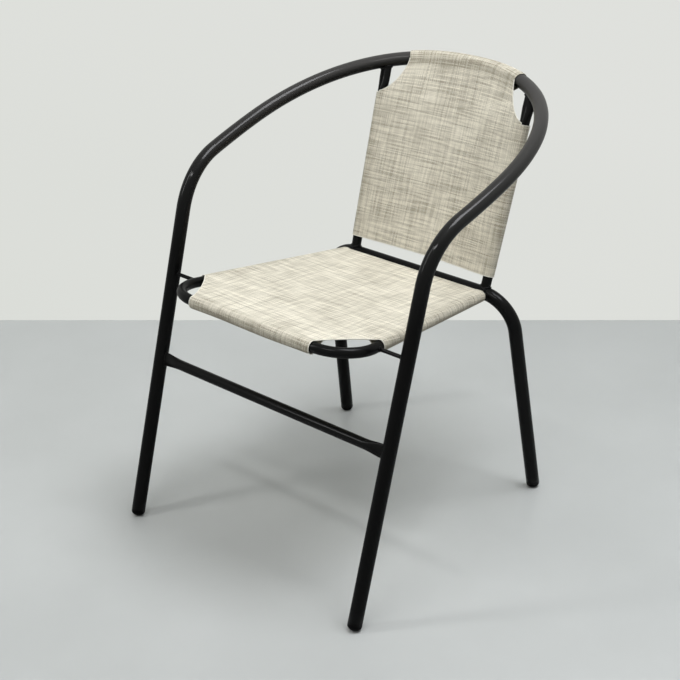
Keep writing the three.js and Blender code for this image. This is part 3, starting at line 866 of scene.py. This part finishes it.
seat_cloth = seat_sling()
back_cloth = back_sling()


# How far the cloth stays dark beside a tube, and how dark it is on its upward and downward faces there. The
# darkness is partly the black tube showing through the weave and partly painted shade, strongest on downward
# faces and on the cloth over the top of the hoop
rail_dark = (9 * mm, 0.72, 0.9)
seat_dark = (4 * mm, 0.3, 1.0)
upright_dark = (4 * mm, 0.35, 0.35)


def tubes_in_sleeves():
    """Places on the tubes that the slings lie on, each with the tube's radius and how dark the cloth is
    painted there, partly for the tube showing through and partly as painted shade.
    """
    found = [(point, main_tube, rail_dark) for point in points_along(hoop_knots)]
    found += [(point, light_tube, seat_dark) for point in points_along(seat_knots, per_run=80)]
    for _, turn in sides:
        found += [(turn(upright_at(t)), light_tube, upright_dark) for t in spread(0, 1, count=120)]
    found += [(rear_bar_end.lerp(flipped(rear_bar_end), share), rear_bar_tube, seat_dark)
              for share in spread(0, 1, count=80)]
    return found


def mark_dark_cloth(piece):
    """Gives each point of the cloth a value from 0, clear of the frame, to 1, darkest beside a tube: partly
    the tube showing through the weave, partly painted shade that grows on downward faces.
    """
    lies_within, turned_up = 1.8 * mm, 0.5
    tubes = tubes_in_sleeves()
    nearest = KDTree(len(tubes))
    for i, (point, *_) in enumerate(tubes):
        nearest.insert(to_frame @ point, i)
    nearest.balance()
    values = []
    for vert in piece.data.vertices:
        _, i, distance = nearest.find(vert.co)
        _, radius, (fade, on_top, under) = tubes[i]
        lying = 1 - eased(held((distance - radius - lies_within) / fade))
        # Painted shade: the value changes with the way the cloth faces, and is most on faces turned down
        values.append(lying * (under + (on_top - under) * held(vert.normal.z + turned_up)))
    piece.data.attributes.new("tube_show_and_shade", "FLOAT", "POINT").data.foreach_set("value", values)


mark_dark_cloth(seat_cloth)
mark_dark_cloth(back_cloth)


# Edging and stitching

def edging(name, lines):
    """The sealed cut edges of a sheet, as fine beads along them."""
    return joined(name, [bent_tube("edge", line, edging_half, fineness=3, roundness=2) for line in lines])


def both_sides(line):
    return [line, [flipped(point) for point in line]]


def seat_edging():
    section = [Vector((0, sheet_level))] + wrap(sheet_level, (seam_run, sheet_level))
    front_round = [in_seat(front_sleeve_half, point.x,
                           point.y - front_hang(front_sleeve_half, point.y / sheet_level))
                   for point in reversed(section)]
    cut = [in_seat(point.x, point.y, sheet_level + seat_sag(point.x, point.y)) for point in cut_line[1:-1]]
    half = seat_side(side_sleeve_start)
    side_round = [in_seat(half - point.x, side_sleeve_start, point.y) for point in section]
    return edging("seat_sling_edging", both_sides(front_round + cut + side_round))


def upright_round(t):
    axis = upright_at(t)
    join = back_point(axis.x - back_seam_run, t) - axis
    found = [back_point(axis.x, t)]
    for point in wrap(upright_level, (join.dot(upright_inward), join.dot(upright_forward))):
        found.append(axis + upright_inward * point.x + upright_forward * point.y)
    return found


def back_edging():
    right = upright_round(hem_at)
    half = upright_at(hem_at).x
    across = [back_point(x, hem_at) for x in spread(-half, half, count=24)[1:-1]]
    hem = [flipped(point) for point in reversed(right)] + across + right
    cut = [back_point(half, t) for t, half in shoulder_rows()]
    shoulder = list(reversed(upright_round(shoulder_at))) + cut
    return edging("back_sling_edging", [hem] + both_sides(shoulder))


def stitches(name, seams):
    """Stitches along seams. Each seam is a list of places with the way out of the cloth there."""
    deselected()
    bpy.ops.mesh.primitive_uv_sphere_add(segments=6, ring_count=4, radius=1)
    model = bpy.context.object
    only(model)
    bpy.ops.object.mode_set(mode="EDIT")
    bpy.ops.transform.resize(value=stitch_half, center_override=(0, 0, 0))
    bpy.ops.object.mode_set(mode="OBJECT")
    row = bmesh.new()
    for seam in seams:
        left = stitch_pitch / 2
        for (start, out), (end, _) in zip(seam, seam[1:]):
            length = (end - start).length
            way = (end - start).normalized()
            while left < length:
                side = out.cross(way).normalized()
                place = framed(start + way * left, side, way.cross(side), way)
                known = len(row.verts)
                row.from_mesh(model.data)
                row.verts.ensure_lookup_table()
                bmesh.ops.transform(row, matrix=place, verts=row.verts[known:])
                left += stitch_pitch
            left -= length
    row.to_mesh(model.data)
    row.free()
    model.data.transform(to_frame)
    model.name = model.data.name = name
    only(model)
    bpy.ops.object.shade_smooth()
    return model


# A seam is sewn through the sheet and the layer under it, so its stitches show on the sheet's upper
# face and on the layer's lower one
seam_faces = ((1, cloth / 2), (-1, -cloth * 1.5 - thread_proud))


def seat_stitching():
    front = front_sleeve_half - stitch_inset
    rear = seat_side(rear_bar_at) - side_band - stitch_inset
    along = spread(side_sleeve_start + stitch_inset, rear_bar_at - end_inset, count=30)
    seams = []
    for face, rise in seam_faces:
        def place(x, y):
            return in_seat(x, y, sheet_level + seat_sag(x, y) * (face > 0) + rise), seat_up * face

        seams.append([place(x, seam_run) for x in spread(-front, front, count=30)])
        seams.append([place(x, rear_bar_at - seam_run) for x in spread(-rear, rear, count=30)])
        for sign in (1, -1):
            seams.append([place(sign * (seat_side(y) - seam_run), y) for y in along])
    return stitches("seat_sling_stitching", seams)


def back_stitching():
    sewn_from, sewn_to, a_little = hem_at + 0.008, shoulder_at - 0.005, 0.002
    top = top_sleeve_half - end_inset
    seams = []
    for face, rise in seam_faces:
        def place(x, t):
            at, beside, above = back_point(x, t), back_point(x + mm, t), back_point(x, t + a_little)
            out = (beside - at).cross(above - at).normalized()
            if out.dot(upright_forward) < 0:
                out.negate()
            return at + out * rise, out * face

        for sign in (1, -1):
            seams.append([place(sign * (upright_at(t).x - back_seam_run), t)
                          for t in spread(sewn_from, sewn_to, count=30)])
        seams.append([place(x, 1 - top_seam_run / upright_length) for x in spread(-top, top, count=40)])
    return stitches("back_sling_stitching", seams)


seat_edge = seat_edging()
back_edge = back_edging()
seat_thread = seat_stitching()
back_thread = back_stitching()


# Shared effects

def effect(name, inputs, outputs):
    """A shader node group with named inputs and outputs."""
    group = bpy.data.node_groups.new(name, "ShaderNodeTree")
    for label, kind, value in inputs:
        socket = group.interface.new_socket(name=label, in_out="INPUT", socket_type=kind)
        if value is not None:
            socket.default_value = value
    for label, kind in outputs:
        group.interface.new_socket(name=label, in_out="OUTPUT", socket_type=kind)
    return group, group.nodes.new("NodeGroupInput"), group.nodes.new("NodeGroupOutput")


class Bench:
    """Short ways to lay out nodes in one tree."""

    def __init__(self, tree):
        self.tree = tree

    def link(self, source, target):
        if isinstance(source, bpy.types.NodeSocket):
            self.tree.links.new(source, target)
        else:
            target.default_value = source

    def math(self, operation, *values, clamp=False):
        node = self.tree.nodes.new("ShaderNodeMath")
        node.operation = operation
        node.use_clamp = clamp
        for value, socket in zip(values, node.inputs):
            self.link(value, socket)
        return node.outputs[0]

    def joined(self, x, y, z=0.0):
        node = self.tree.nodes.new("ShaderNodeCombineXYZ")
        for value, socket in zip((x, y, z), node.inputs):
            self.link(value, socket)
        return node.outputs[0]

    def split(self, vector):
        node = self.tree.nodes.new("ShaderNodeSeparateXYZ")
        self.link(vector, node.inputs[0])
        return node.outputs

    def scaled(self, vector, scale):
        node = self.tree.nodes.new("ShaderNodeVectorMath")
        node.operation = "SCALE"
        self.link(vector, node.inputs[0])
        self.link(scale, node.inputs["Scale"])
        return node.outputs[0]

    def noise(self, vector, scale=1.0, detail=2.0, rough=0.5):
        node = self.tree.nodes.new("ShaderNodeTexNoise")
        self.link(vector, node.inputs["Vector"])
        self.link(scale, node.inputs["Scale"])
        node.inputs["Detail"].default_value = detail
        node.inputs["Roughness"].default_value = rough
        return node.outputs[0]

    def ranged(self, value, low, high, to_low=0.0, to_high=1.0):
        node = self.tree.nodes.new("ShaderNodeMapRange")
        node.clamp = True
        for given, socket in zip((value, low, high, to_low, to_high), node.inputs):
            self.link(given, socket)
        return node.outputs[0]

    def blended(self, share, first, second):
        node = self.tree.nodes.new("ShaderNodeMix")
        node.data_type = "RGBA"
        self.link(share, node.inputs[0])
        self.link(first, node.inputs[6])
        self.link(second, node.inputs[7])
        return node.outputs[2]

    def placed(self, group, **values):
        node = self.tree.nodes.new("ShaderNodeGroup")
        node.node_tree = group
        for label, value in values.items():
            self.link(value, node.inputs[label.replace("_", " ")])
        return node


number, vector = "NodeSocketFloat", "NodeSocketVector"

coat_grain, given, put_out = effect(
    "coat grain",
    [("Place", vector, None), ("Peel per metre", number, 420.0), ("Speck per metre", number, 1900.0),
     ("Cloud per metre", number, 22.0)],
    [("Height", number), ("Cloud", number), ("Rub", number)])
bench = Bench(coat_grain)
place, cloud_scale = given.outputs["Place"], given.outputs["Cloud per metre"]
peel = bench.noise(place, given.outputs["Peel per metre"], detail=1.5, rough=0.45)
speck = bench.noise(place, given.outputs["Speck per metre"], detail=1.0, rough=0.5)
cloud = bench.noise(place, cloud_scale, detail=3.0, rough=0.6)
rubs_per_cloud = 6.0
rub = bench.noise(place, bench.math("MULTIPLY", cloud_scale, rubs_per_cloud), detail=4.0, rough=0.62)
peel_share, speck_share = 0.85, 0.15
bench.link(bench.math("ADD", bench.math("MULTIPLY", peel, peel_share),
                      bench.math("MULTIPLY", speck, speck_share)), put_out.inputs["Height"])
bench.link(bench.ranged(cloud, 0.32, 0.68), put_out.inputs["Cloud"])
rub_from, rub_full = 0.3, 0.46
bench.link(bench.ranged(bench.math("MULTIPLY", rub, cloud), rub_from, rub_full), put_out.inputs["Rub"])

plain_weave, given, put_out = effect(
    "plain weave",
    [("Flat place", vector, None), ("Yarns per metre", number, 571.0), ("Slub", number, 1.0)],
    [("Height", number), ("Tone", number), ("Gap", number)])
bench = Bench(plain_weave)
u, v, _ = bench.split(bench.scaled(given.outputs["Flat place"], given.outputs["Yarns per metre"]))
u_at, v_at = bench.math("FRACT", u), bench.math("FRACT", v)
u_yarn, v_yarn = bench.math("FLOOR", u), bench.math("FLOOR", v)
over = bench.math("FLOORED_MODULO", bench.math("ADD", u_yarn, v_yarn), 2.0)
u_round = bench.math("SINE", bench.math("MULTIPLY", u_at, math.pi))
v_round = bench.math("SINE", bench.math("MULTIPLY", v_at, math.pi))


def yarn_height(across, along, fullness=0.6):
    """A rounded yarn that dips by half where it goes under its neighbours."""
    dip = bench.math("MULTIPLY_ADD", along, 0.5, 0.5)
    return bench.math("MULTIPLY", bench.math("POWER", across, fullness), dip)


def yarn_tone(own, along, salt):
    """Each yarn has its own tone, which comes and goes along it in slubs. Some yarns run darker in groups."""
    def streaks(per_yarn, per_step, salt, detail, rough):
        across, lengthways = bench.math("MULTIPLY", own, per_yarn), bench.math("MULTIPLY", along, per_step)
        return bench.noise(bench.joined(across, lengthways, salt), detail=detail, rough=rough)

    single = streaks(per_yarn=3.17, per_step=0.028, salt=salt, detail=1.0, rough=0.4)
    group = streaks(per_yarn=0.31, per_step=0.016, salt=salt + 7.0, detail=2.0, rough=0.6)
    single_strength, group_strength = 0.85, 0.35
    return bench.math("ADD", bench.ranged(single, 0.42, 0.64, 0.0, single_strength),
                      bench.ranged(group, 0.45, 0.7, 0.0, group_strength))


flip = bench.math("SUBTRACT", 1.0, over)
height = bench.math("ADD", bench.math("MULTIPLY", over, yarn_height(u_round, v_round)),
                    bench.math("MULTIPLY", flip, yarn_height(v_round, u_round)))
under_shows = 0.28
warp_share = bench.ranged(over, 0.0, 1.0, under_shows, 1 - under_shows)
warp_strength = 0.72
warp_tone = bench.math("MULTIPLY", yarn_tone(u_yarn, v, salt=3.0), warp_strength)
weft_tone = yarn_tone(v_yarn, u, salt=19.0)
tone = bench.math("MULTIPLY_ADD", warp_share, bench.math("SUBTRACT", warp_tone, weft_tone), weft_tone)
bench.link(height, put_out.inputs["Height"])
bench.link(bench.math("MULTIPLY", tone, given.outputs["Slub"], clamp=True), put_out.inputs["Tone"])
gap_edge = 0.35
bench.link(bench.ranged(bench.math("MULTIPLY", u_round, v_round), 0.0, gap_edge, 1.0, 0.0),
           put_out.inputs["Gap"])


# Finishes

def finish_of(name):
    material = bpy.data.materials.new(name)
    material.use_nodes = True
    shader = material.node_tree.nodes["Principled BSDF"]
    return material, Bench(material.node_tree), shader


def place_of(bench):
    return bench.tree.nodes.new("ShaderNodeTexCoord").outputs["Object"]


def bumped(bench, shader, height, strength, distance):
    bump = bench.tree.nodes.new("ShaderNodeBump")
    bump.inputs["Strength"].default_value = strength
    bump.inputs["Distance"].default_value = distance
    bench.link(height, bump.inputs["Height"])
    bench.link(bump.outputs[0], shader.inputs["Normal"])


# Heights between which a painted sheen lightens the coat's upward faces, standing in for light from above,
# and the coat turns glossy from being held
painted_sheen_from, painted_sheen_full = 0.55, 0.67
glossy_from, glossy_full = 0.44, 0.56
low_gloss = 0.22


def coated(name, dark, pale, rough, spread_rough, bump, gloss, peel=420.0, painted_sheen=None):
    """A coat over metal or plastic. Painted sheen is a paler colour painted on the upward faces of the arms
    and the rail, standing in for the grey sheen of light from above; these are glossier than the legs."""
    material, bench, shader = finish_of(name)
    place = place_of(bench)
    grain = bench.placed(coat_grain, Place=place, Peel_per_metre=peel)
    tone = bench.blended(grain.outputs["Rub"], (*dark, 1), (*pale, 1))
    shader.inputs["Coat Weight"].default_value = gloss
    if painted_sheen:
        height = bench.split(place)[2]
        facing_up = bench.split(bench.tree.nodes.new("ShaderNodeNewGeometry").outputs["Normal"])[2]
        # Painted sheen: upward faces high on the frame are painted paler, standing in for light from above
        painted_sheen_share = bench.math("MULTIPLY", bench.ranged(height, painted_sheen_from, painted_sheen_full),
                            bench.ranged(facing_up, -0.25, 0.5))
        tone = bench.blended(painted_sheen_share, tone, (*painted_sheen, 1))
        bench.link(bench.ranged(height, glossy_from, glossy_full, gloss * low_gloss, gloss),
                   shader.inputs["Coat Weight"])
    bench.link(tone, shader.inputs["Base Color"])
    bench.link(bench.ranged(grain.outputs["Cloud"], 0.0, 1.0, rough, rough + spread_rough),
               shader.inputs["Roughness"])
    shader.inputs["Specular IOR Level"].default_value = 0.06
    shader.inputs["Coat Roughness"].default_value = 0.11
    bumped(bench, shader, grain.outputs["Height"], strength=bump, distance=0.05 * mm)
    return material


powder_coat = coated("black_powder_coat", dark=(0.0009, 0.0009, 0.001), pale=(0.003, 0.003, 0.003),
                     rough=0.42, spread_rough=0.08, bump=0.06, gloss=0.13)
painted_sheen_coat = coated("black_powder_coat_painted_sheen", dark=(0.0009, 0.0009, 0.001), pale=(0.003, 0.003, 0.003),
                     rough=0.42, spread_rough=0.08, bump=0.06, gloss=0.28, painted_sheen=(0.042, 0.04, 0.038))
weld_coat = coated("coated_weld", dark=(0.0012, 0.0012, 0.0013), pale=(0.005, 0.005, 0.005),
                   rough=0.3, spread_rough=0.1, bump=0.8, gloss=0.16, peel=900.0)
cap_plastic = coated("moulded_black_plastic", dark=(0.0012, 0.0012, 0.0013), pale=(0.004, 0.004, 0.004),
                     rough=0.48, spread_rough=0.12, bump=0.6, gloss=0.0, peel=1300.0)


def woven(name, pale, dark, gap, rough):
    material, bench, shader = finish_of(name)
    flat = bench.tree.nodes.new("ShaderNodeUVMap")
    flat.uv_map = "flat_cloth"
    weave = bench.placed(plain_weave, Flat_place=flat.outputs[0])
    cloud = bench.noise(place_of(bench), scale=9.0, detail=3.0, rough=0.6)
    tube_show_and_shade = bench.tree.nodes.new("ShaderNodeAttribute")
    tube_show_and_shade.attribute_name = "tube_show_and_shade"
    facing_up = bench.split(bench.tree.nodes.new("ShaderNodeNewGeometry").outputs["Normal"])[2]
    # Where the cloth lies on a tube it is darkened, partly for the tube showing through and partly as painted
    # shade that is strongest on faces turned down; the cloud adds stains at random
    painted_shade_facing_up, cloud_stain, open_gap = 0.4, 0.12, 0.55
    painted_shade_by_facing = bench.ranged(facing_up, -0.65, 0.15, 1.0, painted_shade_facing_up)
    clouded = bench.ranged(cloud, 0.4, 0.7, 0.0, cloud_stain)
    stain_and_painted_shade = bench.math("MULTIPLY_ADD", tube_show_and_shade.outputs["Fac"], painted_shade_by_facing, clouded)
    tone = bench.math("ADD", weave.outputs["Tone"], stain_and_painted_shade, clamp=True)
    yarn = bench.blended(tone, (*pale, 1), (*dark, 1))
    backed = bench.ranged(tube_show_and_shade.outputs["Fac"], 0.0, 1.0, open_gap, 1.0)
    seen = bench.blended(bench.math("MULTIPLY", weave.outputs["Gap"], backed), yarn, (*gap, 1))
    bench.link(seen, shader.inputs["Base Color"])
    rougher_low, smoother_high = 0.08, 0.06
    bench.link(bench.ranged(weave.outputs["Height"], 0.2, 1.0, rough + rougher_low, rough - smoother_high),
               shader.inputs["Roughness"])
    shader.inputs["Sheen Weight"].default_value = 0.12
    shader.inputs["Sheen Roughness"].default_value = 0.5
    bumped(bench, shader, weave.outputs["Height"], strength=0.55, distance=0.35 * mm)
    return material


sling_weave = woven("slubbed_cream_weave", pale=(0.84, 0.795, 0.66), dark=(0.28, 0.25, 0.185),
                    gap=(0.30, 0.275, 0.205), rough=0.78)


def threaded(name, pale, dark, twist_per_metre):
    material, bench, shader = finish_of(name)
    x, y, z = bench.split(place_of(bench))
    aslant = bench.math("ADD", bench.math("ADD", x, y), z)
    twist = bench.math("SINE", bench.math("MULTIPLY", aslant, twist_per_metre))
    shade = bench.ranged(twist, -1.0, 1.0)
    bench.link(bench.blended(shade, (*pale, 1), (*dark, 1)), shader.inputs["Base Color"])
    bench.link(bench.ranged(shade, 0.0, 1.0, 0.55, 0.7), shader.inputs["Roughness"])
    bumped(bench, shader, shade, strength=0.3, distance=0.1 * mm)
    return material


seam_thread = threaded("cream_thread", pale=(0.60, 0.575, 0.48), dark=(0.44, 0.42, 0.34),
                       twist_per_metre=9000.0)
sealed_edge = threaded("sealed_cloth_edge", pale=(0.80, 0.78, 0.70), dark=(0.60, 0.57, 0.47),
                       twist_per_metre=5000.0)

arm_hoop.data.materials.append(painted_sheen_coat)
for piece in (rear_bow, seat_ring, rear_bar, stretcher, *uprights, *struts):
    piece.data.materials.append(powder_coat)
for piece in welds:
    piece.data.materials.append(weld_coat)
for piece in caps:
    piece.data.materials.append(cap_plastic)
for piece in (seat_cloth, back_cloth):
    piece.data.materials.append(sling_weave)
for piece in (seat_thread, back_thread):
    piece.data.materials.append(seam_thread)
for piece in (seat_edge, back_edge):
    piece.data.materials.append(sealed_edge)


# What rides, and what each piece stands for

stands_for = [
    (arm_hoop, "arm_hoop"), (rear_bow, "rear_leg_bow"),
    (seat_ring, "seat_frame"), (rear_bar, "rear_seat_bar"), (stretcher, "front_stretcher"),
    (uprights[0], "back_upright_right"), (uprights[1], "back_upright_left"),
    (struts[0], "seat_strut_right"), (struts[1], "seat_strut_left"),
    (caps[0], "foot_cap_front_right"), (caps[1], "foot_cap_front_left"),
    (caps[2], "foot_cap_rear_right"), (caps[3], "foot_cap_rear_left"),
    (seat_cloth, "seat_sling"), (back_cloth, "back_sling"),
]
for piece, node in stands_for:
    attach(piece, "root")
    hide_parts(node)
for piece in (*welds, seat_thread, back_thread, seat_edge, back_edge):
    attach(piece, "root")


# Camera, floor, backdrop and light

camera_data = bpy.data.cameras.new("camera")
camera = bpy.data.objects.new("camera", camera_data)
bpy.context.scene.collection.objects.link(camera)
camera_turn, camera_dip = 40.80 * degree, 25.79 * degree
camera.location = (1.2815, -1.5296, 1.2527)
camera.rotation_euler = (math.pi / 2 - camera_dip, 0, camera_turn)
camera_data.lens = 73.43
camera_data.sensor_width = 36
bpy.context.scene.camera = camera


def looked_at(bench):
    """1 for the rays by which the camera, a gloss or a glass sees a surface, and 0 for those that light."""
    ray = bench.tree.nodes.new("ShaderNodeLightPath").outputs
    seen = bench.math("MAXIMUM", ray["Is Camera Ray"], ray["Is Glossy Ray"])
    return bench.math("MAXIMUM", seen, ray["Is Transmission Ray"])


def either(bench, share, first, second):
    """Mixes two shaders, the second by its share and the first by the rest."""
    mix = bench.tree.nodes.new("ShaderNodeMixShader")
    for value, socket in zip((share, first, second), mix.inputs):
        bench.link(value, socket)
    return mix.outputs[0]


def glowing(bench, tint):
    glow = bench.tree.nodes.new("ShaderNodeEmission")
    bench.link(tint, glow.inputs["Color"])
    return glow.outputs[0]


def clouded_tint(bench, share, tint, other):
    return bench.blended(bench.ranged(share, 0.35, 0.65), (*tint, 1), (*other, 1))


floor_tints = ((0.475, 0.49, 0.475), (0.515, 0.53, 0.515))
far_floor_tints = ((0.535, 0.56, 0.55), (0.555, 0.58, 0.57))
wall_tints = ((0.75, 0.76, 0.75), (0.79, 0.80, 0.79))
seen_wall_tints = ((0.69, 0.71, 0.67), (0.74, 0.75, 0.72))

# Away from the chair the floor keeps the pale tone that it has in the lamps' light. The distances are
# those from the middle of the frame over which it turns from the one to the other.
near_floor, far_floor = 0.9, 2.0
floor_finish, bench, shader = finish_of("pale_floor")
place = place_of(bench)
cloud = bench.noise(place, scale=2.2, detail=4.0, rough=0.55)
bench.link(clouded_tint(bench, cloud, *floor_tints), shader.inputs["Base Color"])
bench.link(bench.ranged(cloud, 0.3, 0.7, 0.34, 0.46), shader.inputs["Roughness"])
x, y, _ = bench.split(place)
away = bench.math("SQRT", bench.math("ADD", bench.math("MULTIPLY", x, x), bench.math("MULTIPLY", y, y)))
glow_share = bench.math("MULTIPLY", bench.ranged(away, near_floor, far_floor), looked_at(bench))
pale = glowing(bench, clouded_tint(bench, cloud, *far_floor_tints))
bench.link(either(bench, glow_share, shader.outputs[0], pale),
           bench.tree.nodes["Material Output"].inputs["Surface"])

wall_finish, bench, shader = finish_of("pale_wall")
cloud = bench.noise(place_of(bench), scale=1.6, detail=3.0, rough=0.5)
bench.link(clouded_tint(bench, cloud, *wall_tints), shader.inputs["Base Color"])
shader.inputs["Roughness"].default_value = 0.9
pale = glowing(bench, clouded_tint(bench, cloud, *seen_wall_tints))
shown = either(bench, looked_at(bench), shader.outputs[0], pale)
clear = bench.tree.nodes.new("ShaderNodeBsdfTransparent")
behind = bench.tree.nodes.new("ShaderNodeNewGeometry").outputs["Backfacing"]
bench.link(either(bench, behind, shown, clear.outputs[0]),
           bench.tree.nodes["Material Output"].inputs["Surface"])

floor_size, floor_drop = 12, 0.5 * mm
deselected()
bpy.ops.mesh.primitive_plane_add(size=floor_size, location=(0, 0, -floor_drop))
floor = bpy.context.object
floor.name = "floor"
floor.data.materials.append(floor_finish)

wall_away, wall_width, wall_height = 2.69, 9, 3
look_way = Vector((-math.sin(camera_turn), math.cos(camera_turn), 0))
wall_at = Vector((camera.location.x, camera.location.y, wall_height / 2)) + look_way * wall_away
bpy.ops.mesh.primitive_plane_add(size=1, location=wall_at, rotation=(math.pi / 2, 0, camera_turn))
wall = bpy.context.object
wall.name = "backdrop"
wall.scale = (wall_width, wall_height, 1)
wall.data.materials.append(wall_finish)


def soft_light(name, place, aim, wide, deep, power, colour=(1, 1, 1)):
    """A rectangular lamp that the camera doesn't see."""
    data = bpy.data.lights.new(name, "AREA")
    data.shape = "RECTANGLE"
    data.size, data.size_y = wide, deep
    data.energy = power
    data.color = colour
    lamp = bpy.data.objects.new(name, data)
    bpy.context.scene.collection.objects.link(lamp)
    lamp.location = place
    lamp.rotation_euler = (Vector(aim) - Vector(place)).to_track_quat("-Z", "Y").to_euler()
    lamp.visible_camera = False


soft_light("overhead", (0.58, 0.27, 2.4), aim=(0, 0, 0.3), wide=0.92, deep=0.92, power=35,
           colour=(0.97, 0.985, 1.02))
soft_light("window", (-1.0, -1.35, 1.7), aim=(0, 0, 0.5), wide=0.2, deep=1.2, power=9)
soft_light("far_window", (0.15, -1.3, 2.3), aim=(0, 0, 0.5), wide=1.0, deep=0.16, power=9.5)

world = bpy.data.worlds.new("studio")
world.use_nodes = True
sky = Bench(world.node_tree)
looking = sky.split(world.node_tree.nodes.new("ShaderNodeTexCoord").outputs["Generated"])
up_share = sky.ranged(looking[2], -0.1, 0.9)
low_sky, high_sky, seen_sky = (0.18, 0.176, 0.168, 1), (0.425, 0.433, 0.45, 1), (0.70, 0.72, 0.68, 1)
sky.link(sky.blended(looked_at(sky), sky.blended(up_share, low_sky, high_sky), seen_sky),
         world.node_tree.nodes["Background"].inputs["Color"])
bpy.context.scene.world = world
bpy.context.scene.view_settings.view_transform = "Standard"
